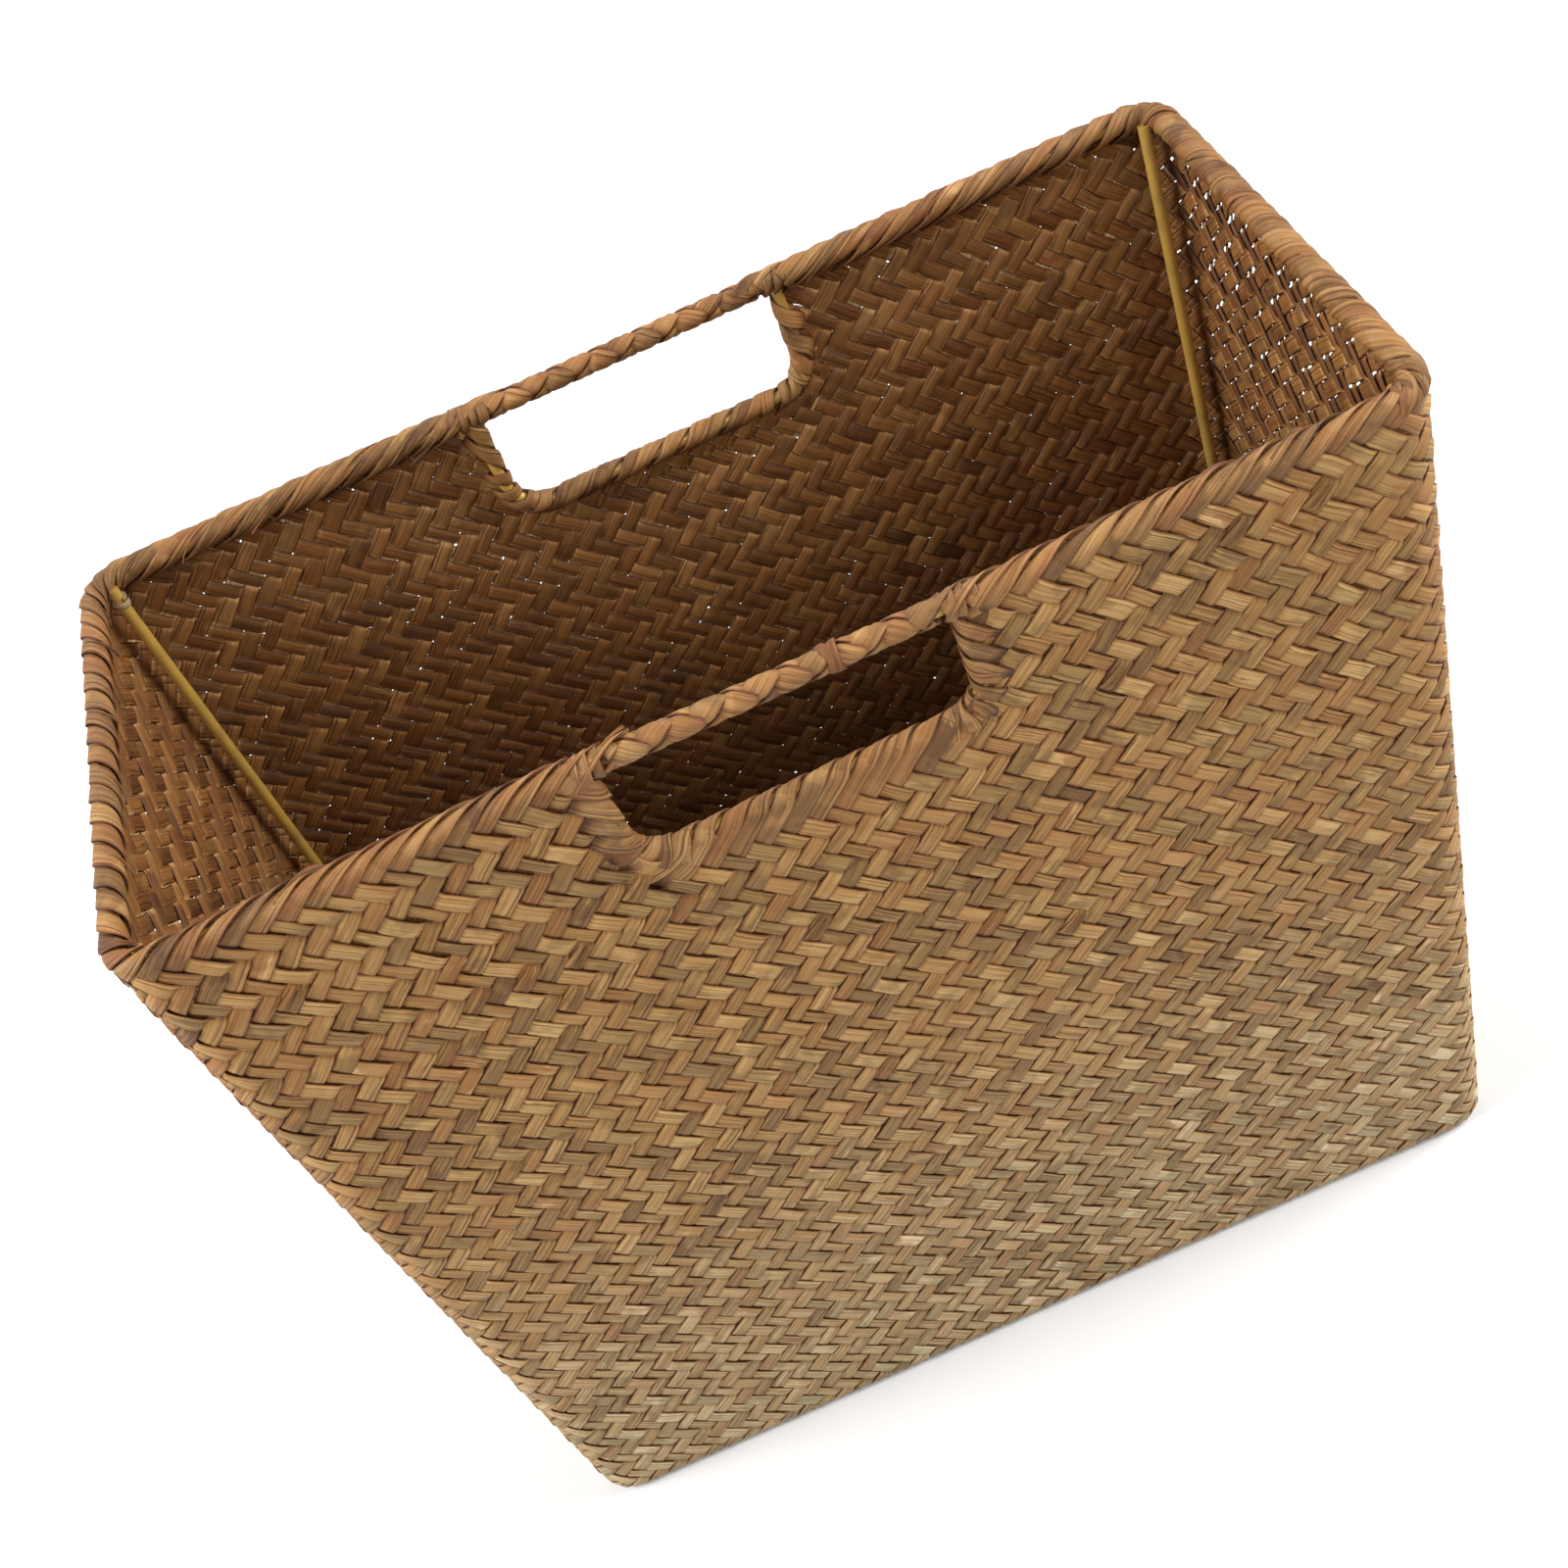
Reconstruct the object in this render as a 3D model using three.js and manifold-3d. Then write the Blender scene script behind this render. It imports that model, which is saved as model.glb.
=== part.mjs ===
// Magazine basket: a rectangular open-topped basket, plaited from flat rush
// strands over a welded steel wire frame, with a cut-out handhold under the rim
// of each long wall.
//
// Millimetres, +Z up. The origin is on the floor under the middle of the basket.
// X runs along the long walls, and the front wall faces -Y.

import * as THREE from 'three';
import { ConvexGeometry } from 'three/addons/geometries/ConvexGeometry.js';
import { mergeVertices } from 'three/addons/utils/BufferGeometryUtils.js';
import Module from 'manifold-3d';

const wasm = await Module();
wasm.setup();

// Wire frame, measured between the centres of the wires
const RIM_LENGTH = 380;
const RIM_DEPTH = 178;
const BASE_LENGTH = 378;
const BASE_DEPTH = 156;
const FRAME_HEIGHT = 373;
const WIRE_DIAMETER = 4;
const RING_BEND_RADIUS = 12;

// Plaited rush
const WEAVE_THICKNESS = 1.8;
const RIM_BINDING_THICKNESS = 2.2;
const GRIP_BRAID_THICKNESS = 0.9;
const FINE_BINDING_THICKNESS = 1.1;

// Handholds: the clear opening inside its bindings
const HANDHOLD_WIDTH = 102;
const HANDHOLD_DROP = 38.5;
const HANDHOLD_CORNER_RADIUS = 10;
const GRIP_LASHING_LENGTH = 12;

// Lashings that tie the corner posts to the rim
const CORNER_LASHING_TAIL = 6;
const POST_LASHING_LENGTH = 14;

// Gap between pieces that touch, and how far a cutter runs past what it cuts
const CLEARANCE = 0.3;
const OVERRUN = 5;

// Fineness of round stretches
const WIRE_SIDES = 16;
const BEND_STEPS = 6;
const FOLD_STEPS = 4;

// Sizes that follow from the ones above
const WIRE_RADIUS = WIRE_DIAMETER / 2;
const WIRE_BORE_RADIUS = WIRE_RADIUS + CLEARANCE;
const RIM_BINDING_RADIUS = WIRE_BORE_RADIUS + RIM_BINDING_THICKNESS;
const GRIP_RADIUS = WIRE_BORE_RADIUS + GRIP_BRAID_THICKNESS;
const FINE_BINDING_RADIUS = WIRE_BORE_RADIUS + FINE_BINDING_THICKNESS;
const BASE_WIRE_Z = WEAVE_THICKNESS + WIRE_BORE_RADIUS;
const RIM_WIRE_Z = BASE_WIRE_Z + FRAME_HEIGHT;
const WEAVE_INNER_OFFSET = WIRE_BORE_RADIUS;
const WEAVE_OUTER_OFFSET = WIRE_BORE_RADIUS + WEAVE_THICKNESS;
const RIM_SEAT = RIM_BINDING_RADIUS + CLEARANCE;
const WALL_TOP_Z = RIM_WIRE_Z - Math.sqrt(RIM_SEAT ** 2 - WEAVE_INNER_OFFSET ** 2);
const WALL_LEAN = Math.atan((RIM_DEPTH - BASE_DEPTH) / 2 / FRAME_HEIGHT);
const SEAM_SHIFT = CLEARANCE / Math.SQRT2;
const LEG_X = HANDHOLD_WIDTH / 2 + FINE_BINDING_RADIUS;
const SILL_DROP = HANDHOLD_DROP + FINE_BINDING_RADIUS;
const HANDHOLD_BEND_RADIUS = HANDHOLD_CORNER_RADIUS + FINE_BINDING_RADIUS;
const POST_INSET =
  RING_BEND_RADIUS - (RING_BEND_RADIUS - WIRE_DIAMETER - CLEARANCE) / Math.SQRT2;

const CORNERS = [
  { name: 'front_left', x: -1, y: -1 },
  { name: 'front_right', x: 1, y: -1 },
  { name: 'back_right', x: 1, y: 1 },
  { name: 'back_left', x: -1, y: 1 },
];
const LONG_SIDES = [
  { name: 'front', y: -1, left: 'left', right: 'right' },
  { name: 'back', y: 1, left: 'right', right: 'left' },
];
const SHORT_SIDES = [
  { name: 'left', x: -1 },
  { name: 'right', x: 1 },
];

// Colours of the finishes
const goldPaint = new THREE.MeshStandardMaterial({
  color: 0x9a7a2c,
  roughness: 0.45,
  metalness: 0.25,
});
const plaitedRush = new THREE.MeshStandardMaterial({ color: 0x9d7a4c, roughness: 0.8 });
const rimRush = new THREE.MeshStandardMaterial({ color: 0xa87f50, roughness: 0.78 });
const lashingRush = new THREE.MeshStandardMaterial({ color: 0x936b40, roughness: 0.82 });

// The middle line of a bent wire: straight legs joined by round bends. Its
// stations lie on the ends of the legs and along the bends, and nowhere else.
class BentWirePath extends THREE.Curve {
  constructor(corners, bendRadius, closed) {
    super();
    this.stations = [];
    const count = corners.length;
    const corner = (i) => corners[(i + count) % count];
    corners.forEach((point, i) => {
      const isEnd = !closed && (i === 0 || i === count - 1);
      const before = i === 0 && !closed ? point : corner(i - 1);
      const after = i === count - 1 && !closed ? point : corner(i + 1);
      if (isEnd) {
        this.addStation(point, after.clone().sub(before).normalize());
      } else {
        this.addBend(point, before, after, bendRadius);
      }
    });
    if (closed) {
      this.stations.push(this.stations[0]);
    }
    this.segments = this.stations.length - 1;
  }

  addStation(point, tangent) {
    this.stations.push({ point, tangent });
  }

  addBend(point, before, after, radius) {
    const inward = point.clone().sub(before).normalize();
    const outward = after.clone().sub(point).normalize();
    const turn = inward.angleTo(outward);
    const axis = inward.clone().cross(outward).normalize();
    const start = point.clone().addScaledVector(inward, -radius * Math.tan(turn / 2));
    const centre = start.clone().addScaledVector(axis.clone().cross(inward), radius);
    for (let step = 0; step <= BEND_STEPS; step += 1) {
      const angle = (turn * step) / BEND_STEPS;
      const spoke = start.clone().sub(centre).applyAxisAngle(axis, angle);
      this.addStation(spoke.add(centre), inward.clone().applyAxisAngle(axis, angle));
    }
  }

  stationAt(u) {
    return this.stations[Math.round(u * this.segments)];
  }

  getPoint(t, target = new THREE.Vector3()) {
    return target.copy(this.stationAt(t).point);
  }

  getPointAt(u, target = new THREE.Vector3()) {
    return this.getPoint(u, target);
  }

  getTangentAt(u, target = new THREE.Vector3()) {
    return target.copy(this.stationAt(u).tangent);
  }
}

function disc(radius) {
  return new THREE.Shape().absarc(0, 0, radius, 0, Math.PI * 2);
}

// A round bar along an open path, closed at both ends
function bentBar(path, radius) {
  return new THREE.ExtrudeGeometry(disc(radius), {
    extrudePath: path,
    steps: path.segments,
    curveSegments: WIRE_SIDES / 2,
  });
}

// A round bar along a path that closes on itself
function ringBar(path, radius) {
  return new THREE.TubeGeometry(path, path.segments, radius, WIRE_SIDES, true);
}

// A straight round bar between two points
function straightBar(from, to, radius) {
  const axis = to.clone().sub(from);
  const bar = new THREE.CylinderGeometry(radius, radius, axis.length(), WIRE_SIDES);
  const up = new THREE.Vector3(0, 1, 0);
  bar.applyQuaternion(new THREE.Quaternion().setFromUnitVectors(up, axis.clone().normalize()));
  bar.translate((from.x + to.x) / 2, (from.y + to.y) / 2, (from.z + to.z) / 2);
  return bar;
}

// A plain sleeve of binding on a straight wire between two points
function sleeve(from, to, outerRadius) {
  const overrun = to.clone().sub(from).setLength(OVERRUN);
  return cut(straightBar(from, to, outerRadius), [
    straightBar(from.clone().sub(overrun), to.clone().add(overrun), WIRE_BORE_RADIUS),
  ]);
}

function toSolid(geometry) {
  const bare = geometry.clone();
  bare.deleteAttribute('normal');
  bare.deleteAttribute('uv');
  const merged = mergeVertices(bare);
  return new wasm.Manifold(
    new wasm.Mesh({
      numProp: 3,
      vertProperties: Float32Array.from(merged.getAttribute('position').array),
      triVerts: Uint32Array.from(merged.getIndex().array),
    }),
  );
}

function toGeometry(solid) {
  const mesh = solid.getMesh();
  const geometry = new THREE.BufferGeometry();
  geometry.setAttribute('position', new THREE.BufferAttribute(mesh.vertProperties, 3));
  geometry.setIndex(new THREE.BufferAttribute(mesh.triVerts, 1));
  geometry.computeVertexNormals();
  return geometry;
}

function cut(geometry, cutters) {
  const solid = cutters.reduce((body, cutter) => body.subtract(toSolid(cutter)), toSolid(geometry));
  return toGeometry(solid);
}

function join(geometry, others) {
  const solid = others.reduce((body, other) => body.add(toSolid(other)), toSolid(geometry));
  return toGeometry(solid);
}

function keepInside(geometry, region) {
  return toGeometry(toSolid(geometry).intersect(toSolid(region)));
}

// Half of the frame's length and depth at a height
function frameHalfSizes(z) {
  const rise = (z - BASE_WIRE_Z) / FRAME_HEIGHT;
  return {
    x: THREE.MathUtils.lerp(BASE_LENGTH, RIM_LENGTH, rise) / 2,
    y: THREE.MathUtils.lerp(BASE_DEPTH, RIM_DEPTH, rise) / 2,
  };
}

// The plan outline of the basket at a height, moved out from the frame wires
function outline(z, offset, half = frameHalfSizes(z)) {
  const points = [];
  CORNERS.forEach((corner) => {
    const radius = RING_BEND_RADIUS + offset;
    for (let step = 0; step <= BEND_STEPS; step += 1) {
      const angle = ((Math.PI / 2) * step) / BEND_STEPS;
      const x = half.x - RING_BEND_RADIUS + radius * Math.cos(angle);
      const y = half.y - RING_BEND_RADIUS + radius * Math.sin(angle);
      points.push(new THREE.Vector3(corner.x * x, corner.y * y, z));
    }
  });
  return points;
}

// A solid that fills the basket out to an offset from the wires, rounded under
// the base wire, up to a height
function basketBlock(offset, topZ) {
  const baseHalf = frameHalfSizes(BASE_WIRE_Z);
  const points = outline(topZ, offset);
  for (let step = 0; step <= FOLD_STEPS; step += 1) {
    const angle = ((Math.PI / 2) * step) / FOLD_STEPS;
    const z = BASE_WIRE_Z - offset * Math.cos(angle);
    points.push(...outline(z, offset * Math.sin(angle), baseHalf));
  }
  return new ConvexGeometry(points);
}

// The flat stretch of the base, inside the middle line of the base wire
function baseRegion(offset) {
  const baseHalf = frameHalfSizes(BASE_WIRE_Z);
  return new ConvexGeometry([
    ...outline(-OVERRUN, offset, baseHalf),
    ...outline(WEAVE_THICKNESS + OVERRUN, offset, baseHalf),
  ]);
}

// The region of one wall, bounded by planes through the basket's corners
function wallRegion(side) {
  const points = [];
  [-OVERRUN, RIM_WIRE_Z].forEach((z) => {
    const half = frameHalfSizes(z);
    const farX = half.x + RING_BEND_RADIUS;
    const farY = half.y + RING_BEND_RADIUS;
    if (side.x) {
      points.push(new THREE.Vector3(side.x * farX, -farY, z));
      points.push(new THREE.Vector3(side.x * farX, farY, z));
      points.push(new THREE.Vector3(side.x * (half.x - half.y), 0, z));
    } else {
      [-1, 1].forEach((end) => {
        points.push(new THREE.Vector3(end * farX, side.y * farY, z));
        points.push(new THREE.Vector3(end * (half.x - half.y), 0, z));
      });
    }
  });
  const region = new ConvexGeometry(points);
  return region.translate((side.x ?? 0) * SEAM_SHIFT, (side.y ?? 0) * SEAM_SHIFT, 0);
}

function wovenShell() {
  return cut(basketBlock(WEAVE_OUTER_OFFSET, WALL_TOP_Z), [
    basketBlock(WEAVE_INNER_OFFSET, WALL_TOP_Z + OVERRUN),
  ]);
}

// Places a handhold's own frame: its origin is the middle of the rim wire above
// the handhold, X runs along the wire and Z lies in the leaning wall
function handholdPlace(side) {
  const place = new THREE.Matrix4().makeTranslation(0, (side.y * RIM_DEPTH) / 2, RIM_WIRE_Z);
  place.multiply(new THREE.Matrix4().makeRotationZ(side.y < 0 ? 0 : Math.PI));
  return place.multiply(new THREE.Matrix4().makeRotationX(WALL_LEAN));
}

// The hole in a long wall that takes the bound handhold wire
function handholdHole(side) {
  const seat = FINE_BINDING_RADIUS + CLEARANCE;
  const edge = Math.sqrt(seat ** 2 - WEAVE_INNER_OFFSET ** 2);
  const halfWidth = LEG_X + edge;
  const drop = SILL_DROP + edge;
  const radius = HANDHOLD_BEND_RADIUS + edge;
  const shape = new THREE.Shape();
  shape.moveTo(-halfWidth, OVERRUN);
  shape.lineTo(-halfWidth, -drop + radius);
  shape.absarc(-halfWidth + radius, -drop + radius, radius, Math.PI, Math.PI * 1.5);
  shape.lineTo(halfWidth - radius, -drop);
  shape.absarc(halfWidth - radius, -drop + radius, radius, -Math.PI / 2, 0);
  shape.lineTo(halfWidth, OVERRUN);
  shape.closePath();
  const reach = WEAVE_OUTER_OFFSET + OVERRUN;
  const hole = new THREE.ExtrudeGeometry(shape, {
    depth: reach * 2,
    bevelEnabled: false,
    curveSegments: BEND_STEPS,
  });
  hole.translate(0, 0, -reach);
  hole.rotateX(Math.PI / 2);
  return hole.applyMatrix4(handholdPlace(side));
}

function makeWeave(group) {
  const shell = wovenShell();
  const walls = cut(shell, [baseRegion(CLEARANCE / 2)]);
  addPiece(group, 'base_weave', keepInside(shell, baseRegion(-CLEARANCE / 2)), plaitedRush);
  SHORT_SIDES.forEach((side) => {
    const wall = keepInside(walls, wallRegion(side));
    addPiece(group, `wall_weave_${side.name}`, wall, plaitedRush);
  });
  LONG_SIDES.forEach((side) => {
    const wall = cut(keepInside(walls, wallRegion(side)), [handholdHole(side)]);
    addPiece(group, `wall_weave_${side.name}`, wall, plaitedRush);
  });
}

function ringPath(z) {
  const half = frameHalfSizes(z);
  const corners = CORNERS.map(
    (corner) => new THREE.Vector3(corner.x * half.x, corner.y * half.y, z),
  );
  return new BentWirePath(corners, RING_BEND_RADIUS, true);
}

// A corner post's middle point where it stands at a height
function postPoint(corner, ringZ, z) {
  const half = frameHalfSizes(ringZ);
  return new THREE.Vector3(
    corner.x * (half.x - POST_INSET),
    corner.y * (half.y - POST_INSET),
    z,
  );
}

function postEnds(corner) {
  const foot = postPoint(corner, BASE_WIRE_Z, WEAVE_THICKNESS + CLEARANCE);
  const head = postPoint(corner, RIM_WIRE_Z, RIM_WIRE_Z);
  return { foot, head };
}

function makeFrame(group) {
  addPiece(group, 'rim_wire', ringBar(ringPath(RIM_WIRE_Z), WIRE_RADIUS), goldPaint);
  addPiece(group, 'base_wire', ringBar(ringPath(BASE_WIRE_Z), WIRE_RADIUS), goldPaint);
  CORNERS.forEach((corner) => {
    const { foot, head } = postEnds(corner);
    addPiece(group, `corner_post_${corner.name}`, straightBar(foot, head, WIRE_RADIUS), goldPaint);
  });
}

// The lashing at a corner: it covers the rim wire's bend and the post's head
function cornerLashing(corner) {
  const half = frameHalfSizes(RIM_WIRE_Z);
  const reach = RING_BEND_RADIUS + CORNER_LASHING_TAIL;
  const x = corner.x * half.x;
  const y = corner.y * half.y;
  const bend = new BentWirePath(
    [
      new THREE.Vector3(x - corner.x * reach, y, RIM_WIRE_Z),
      new THREE.Vector3(x, y, RIM_WIRE_Z),
      new THREE.Vector3(x, y - corner.y * reach, RIM_WIRE_Z),
    ],
    RING_BEND_RADIUS,
    false,
  );
  const { foot, head } = postEnds(corner);
  const up = head.clone().sub(foot).normalize();
  const along = (distance) => head.clone().addScaledVector(up, distance);
  const cap = along(CLEARANCE + FINE_BINDING_THICKNESS);
  const body = join(bentBar(bend, RIM_BINDING_RADIUS), [
    straightBar(along(-POST_LASHING_LENGTH), cap, FINE_BINDING_RADIUS),
  ]);
  return cut(body, [
    ringBar(ringPath(RIM_WIRE_Z), WIRE_BORE_RADIUS),
    straightBar(along(-POST_LASHING_LENGTH - OVERRUN), along(CLEARANCE), WIRE_BORE_RADIUS),
  ]);
}

function makeRim(group) {
  const half = frameHalfSizes(RIM_WIRE_Z);
  const cornerReach = RING_BEND_RADIUS + CORNER_LASHING_TAIL + CLEARANCE;
  const endX = half.x - cornerReach;
  const endY = half.y - cornerReach;
  const innerX = LEG_X + GRIP_LASHING_LENGTH / 2 + CLEARANCE;
  CORNERS.forEach((corner) => {
    addPiece(group, `corner_lashing_${corner.name}`, cornerLashing(corner), lashingRush);
    const from = new THREE.Vector3(corner.x * endX, corner.y * half.y, RIM_WIRE_Z);
    const to = new THREE.Vector3(corner.x * innerX, corner.y * half.y, RIM_WIRE_Z);
    addPiece(group, `rim_binding_${corner.name}`, sleeve(from, to, RIM_BINDING_RADIUS), rimRush);
  });
  SHORT_SIDES.forEach((side) => {
    const from = new THREE.Vector3(side.x * half.x, -endY, RIM_WIRE_Z);
    const to = new THREE.Vector3(side.x * half.x, endY, RIM_WIRE_Z);
    addPiece(group, `rim_binding_${side.name}`, sleeve(from, to, RIM_BINDING_RADIUS), rimRush);
  });
}

// The U-shaped wire round a handhold, hung under the rim wire
function handholdWirePath() {
  const top = -WIRE_BORE_RADIUS;
  const corners = [
    new THREE.Vector3(-LEG_X, 0, top),
    new THREE.Vector3(-LEG_X, 0, -SILL_DROP),
    new THREE.Vector3(LEG_X, 0, -SILL_DROP),
    new THREE.Vector3(LEG_X, 0, top),
  ];
  return new BentWirePath(corners, HANDHOLD_BEND_RADIUS, false);
}

// The lashing that ties one leg of the handhold wire to the rim wire
function gripLashing(x) {
  const reach = GRIP_LASHING_LENGTH / 2;
  const body = sleeve(
    new THREE.Vector3(x - reach, 0, 0),
    new THREE.Vector3(x + reach, 0, 0),
    RIM_BINDING_RADIUS,
  );
  const legHole = straightBar(
    new THREE.Vector3(x, 0, 0),
    new THREE.Vector3(x, 0, -RIM_BINDING_RADIUS - OVERRUN),
    WIRE_BORE_RADIUS,
  );
  return cut(body, [legHole]);
}

function makeHandhold(side) {
  const group = new THREE.Group();
  const gripEnd = LEG_X - GRIP_LASHING_LENGTH / 2 - CLEARANCE;
  const bendX = LEG_X - HANDHOLD_BEND_RADIUS;
  const bendZ = -SILL_DROP + HANDHOLD_BEND_RADIUS;
  const wire = bentBar(handholdWirePath(), WIRE_RADIUS);
  addPiece(group, `handhold_wire_${side.name}`, wire, goldPaint);
  const grip = sleeve(
    new THREE.Vector3(-gripEnd, 0, 0),
    new THREE.Vector3(gripEnd, 0, 0),
    GRIP_RADIUS,
  );
  addPiece(group, `grip_braid_${side.name}`, grip, rimRush);
  const sill = sleeve(
    new THREE.Vector3(-bendX, 0, -SILL_DROP),
    new THREE.Vector3(bendX, 0, -SILL_DROP),
    FINE_BINDING_RADIUS,
  );
  addPiece(group, `handhold_sill_binding_${side.name}`, sill, rimRush);
  [
    [-LEG_X, side.left],
    [LEG_X, side.right],
  ].forEach(([x, end]) => {
    const binding = sleeve(
      new THREE.Vector3(x, 0, -RIM_SEAT),
      new THREE.Vector3(x, 0, bendZ),
      FINE_BINDING_RADIUS,
    );
    addPiece(group, `handhold_side_binding_${side.name}_${end}`, binding, lashingRush);
    addPiece(group, `grip_lashing_${side.name}_${end}`, gripLashing(x), lashingRush);
  });
  group.applyMatrix4(handholdPlace(side));
  return group;
}

function addPiece(group, name, geometry, material) {
  const mesh = new THREE.Mesh(geometry, material);
  mesh.name = name;
  group.add(mesh);
}

const basket = new THREE.Group();
makeFrame(basket);
makeWeave(basket);
makeRim(basket);
LONG_SIDES.forEach((side) => basket.add(makeHandhold(side)));

export default basket;
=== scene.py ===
"""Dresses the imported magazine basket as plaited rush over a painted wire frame.

The wires and corner posts stay as they were packed and get a paint finish. Everything that is rush
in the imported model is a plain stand-in, and is replaced here by real strands. Each strand is a flat
rod that is laid out on a sheet and then carried on to the surface that the sheet wraps: the walls,
the base, the rim or the edge of a handhold. Lengths are in metres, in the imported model's frame.
"""

from __future__ import annotations

import logging
import math
from dataclasses import dataclass, field
from enum import Enum
from itertools import product
from typing import Callable, Iterable, Protocol

import bmesh
import bpy
import numpy as np
from mathutils import Matrix, Vector


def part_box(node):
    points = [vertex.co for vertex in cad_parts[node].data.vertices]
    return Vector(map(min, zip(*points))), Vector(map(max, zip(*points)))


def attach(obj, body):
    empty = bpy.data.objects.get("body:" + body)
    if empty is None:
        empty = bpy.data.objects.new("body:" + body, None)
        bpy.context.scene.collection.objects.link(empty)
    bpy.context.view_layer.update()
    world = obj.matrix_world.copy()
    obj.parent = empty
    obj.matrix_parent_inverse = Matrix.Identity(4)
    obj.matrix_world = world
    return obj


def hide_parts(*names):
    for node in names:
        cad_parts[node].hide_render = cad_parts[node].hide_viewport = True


Array = np.ndarray
Pair = tuple[float, float]
Triple = tuple[float, float, float]
Colour = Triple
Socket = bpy.types.NodeSocket

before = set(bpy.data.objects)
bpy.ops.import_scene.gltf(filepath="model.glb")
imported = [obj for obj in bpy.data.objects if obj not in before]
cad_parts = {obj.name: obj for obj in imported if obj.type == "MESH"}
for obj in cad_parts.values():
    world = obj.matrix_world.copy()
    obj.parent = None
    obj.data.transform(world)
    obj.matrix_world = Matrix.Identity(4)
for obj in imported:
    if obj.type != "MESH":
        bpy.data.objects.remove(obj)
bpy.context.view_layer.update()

LOG = logging.getLogger("basket")
BODY = "root"
PHOTO_WIDTH_PX = 1600


class Family(Enum):
    """The two directions in which the strands of a bias plait run."""

    RISING = 1
    FALLING = -1


class Slot(Enum):
    """The record's material slots for what is made of rush."""

    PLAIT = "plaited_rush"
    RIM = "rim_rush"
    LASHING = "lashing_rush"


# Shape of the frame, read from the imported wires


@dataclass(frozen=True)
class Shell:
    """The basket's shape as the frame gives it, and how a flat sheet wraps round it.

    A place on the flat sheet is u, the distance round the basket from the front left corner as seen
    from outside, and v, the height. Distances out are taken from the middle line of the wires.
    """

    rim_half: Pair
    base_half: Pair
    rim_z: float
    base_z: float
    bend_radius: float = 0.012
    weave_offset: float = 0.0032
    base_lift_share: float = 0.6

    @classmethod
    def measured(cls) -> Shell:
        """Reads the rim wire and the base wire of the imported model.

        Returns:
            The shell that these wires carry.
        """
        halves, heights = [], []
        for name in ("rim_wire", "base_wire"):
            low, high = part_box(name)
            radius = (high.z - low.z) / 2
            halves.append((high.x - radius, high.y - radius))
            heights.append((high.z + low.z) / 2)
        return cls(halves[0], halves[1], heights[0], heights[1])

    @property
    def straight(self) -> Array:
        """Half of the straight stretch of each side at mid height: front, right, back, left."""
        half = (np.array(self.rim_half) + np.array(self.base_half)) / 2 - self.bend_radius
        return np.tile(half, 2)

    @property
    def half_arc(self) -> float:
        """Half of the length of a rounded corner, along the middle of the weave."""
        return (self.bend_radius + self.weave_offset) * math.pi / 4

    @property
    def starts(self) -> Array:
        """Where each side starts on the flat sheet, and where the last one ends."""
        return np.concatenate([[0.0], np.cumsum(2 * (self.straight + self.half_arc))])

    @property
    def girth(self) -> float:
        """The length of the flat sheet round the basket."""
        return float(self.starts[-1])

    @property
    def fold_v(self) -> float:
        """Place of the base's edge on the flat sheet."""
        return self.base_z - self.weave_offset * math.pi / 2

    def middle(self, side: int) -> float:
        """The place on the flat sheet of the middle of a side."""
        return float(self.starts[side] + self.starts[side + 1]) / 2

    def ring(self, u: Array, z: Array, out: Array) -> Array:
        """Carries places on the flat sheet to the basket.

        Args:
            u: distance round the basket on the flat sheet.
            z: height of the point.
            out: distance out from the middle line of the wires.

        Returns:
            One point for each place.
        """
        u = np.mod(u, self.girth)
        side = np.clip(np.searchsorted(self.starts, u, side="right") - 1, 0, 3)
        straight = self.straight[side]
        reach = u - (self.starts[side] + self.starts[side + 1]) / 2
        rise = np.clip((z - self.base_z) / (self.rim_z - self.base_z), 0.0, 1.0)
        half_x = self.base_half[0] + (self.rim_half[0] - self.base_half[0]) * rise
        half_y = self.base_half[1] + (self.rim_half[1] - self.base_half[1]) * rise
        is_long = side % 2 == 0
        leg = np.where(is_long, half_x, half_y) - self.bend_radius
        apart = np.where(is_long, half_y, half_x) - self.bend_radius
        beyond = np.maximum(np.abs(reach) - straight, 0.0)
        turn = beyond / (self.bend_radius + self.weave_offset)
        radius = self.bend_radius + out
        inner = np.clip(reach, -straight, straight) * leg / straight
        along = inner + np.sign(reach) * radius * np.sin(turn)
        away = apart + radius * np.cos(turn)
        quarter = (side - 1) * math.pi / 2
        x = -along * np.sin(quarter) + away * np.cos(quarter)
        y = along * np.cos(quarter) + away * np.sin(quarter)
        return np.stack([x, y, z], axis=-1)


class Surface(Protocol):
    """Something that a flat sheet of strands wraps round."""

    def place(self, flat: Array, lift: Array) -> Array:
        """Carries flat places, lifted off the sheet, to points."""


@dataclass(frozen=True)
class WallSurface:
    """The four walls, and the fold that takes them under the base wire."""

    shell: Shell

    def place(self, flat: Array, lift: Array) -> Array:
        """Carries places on the flat sheet to the walls.

        Args:
            flat: u and v of each place.
            lift: distance outwards from the middle of the weave.

        Returns:
            One point for each place.
        """
        shell = self.shell
        below = np.maximum(shell.base_z - flat[:, 1], 0.0)
        turn = np.minimum(below / shell.weave_offset, math.pi / 2)
        offset = shell.weave_offset + lift * (1 - (1 - shell.base_lift_share) * np.sin(turn))
        inward = below - turn * shell.weave_offset
        out = offset * np.cos(turn) - inward
        z = np.maximum(flat[:, 1], shell.base_z) - offset * np.sin(turn)
        return shell.ring(flat[:, 0], z, out)


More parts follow.
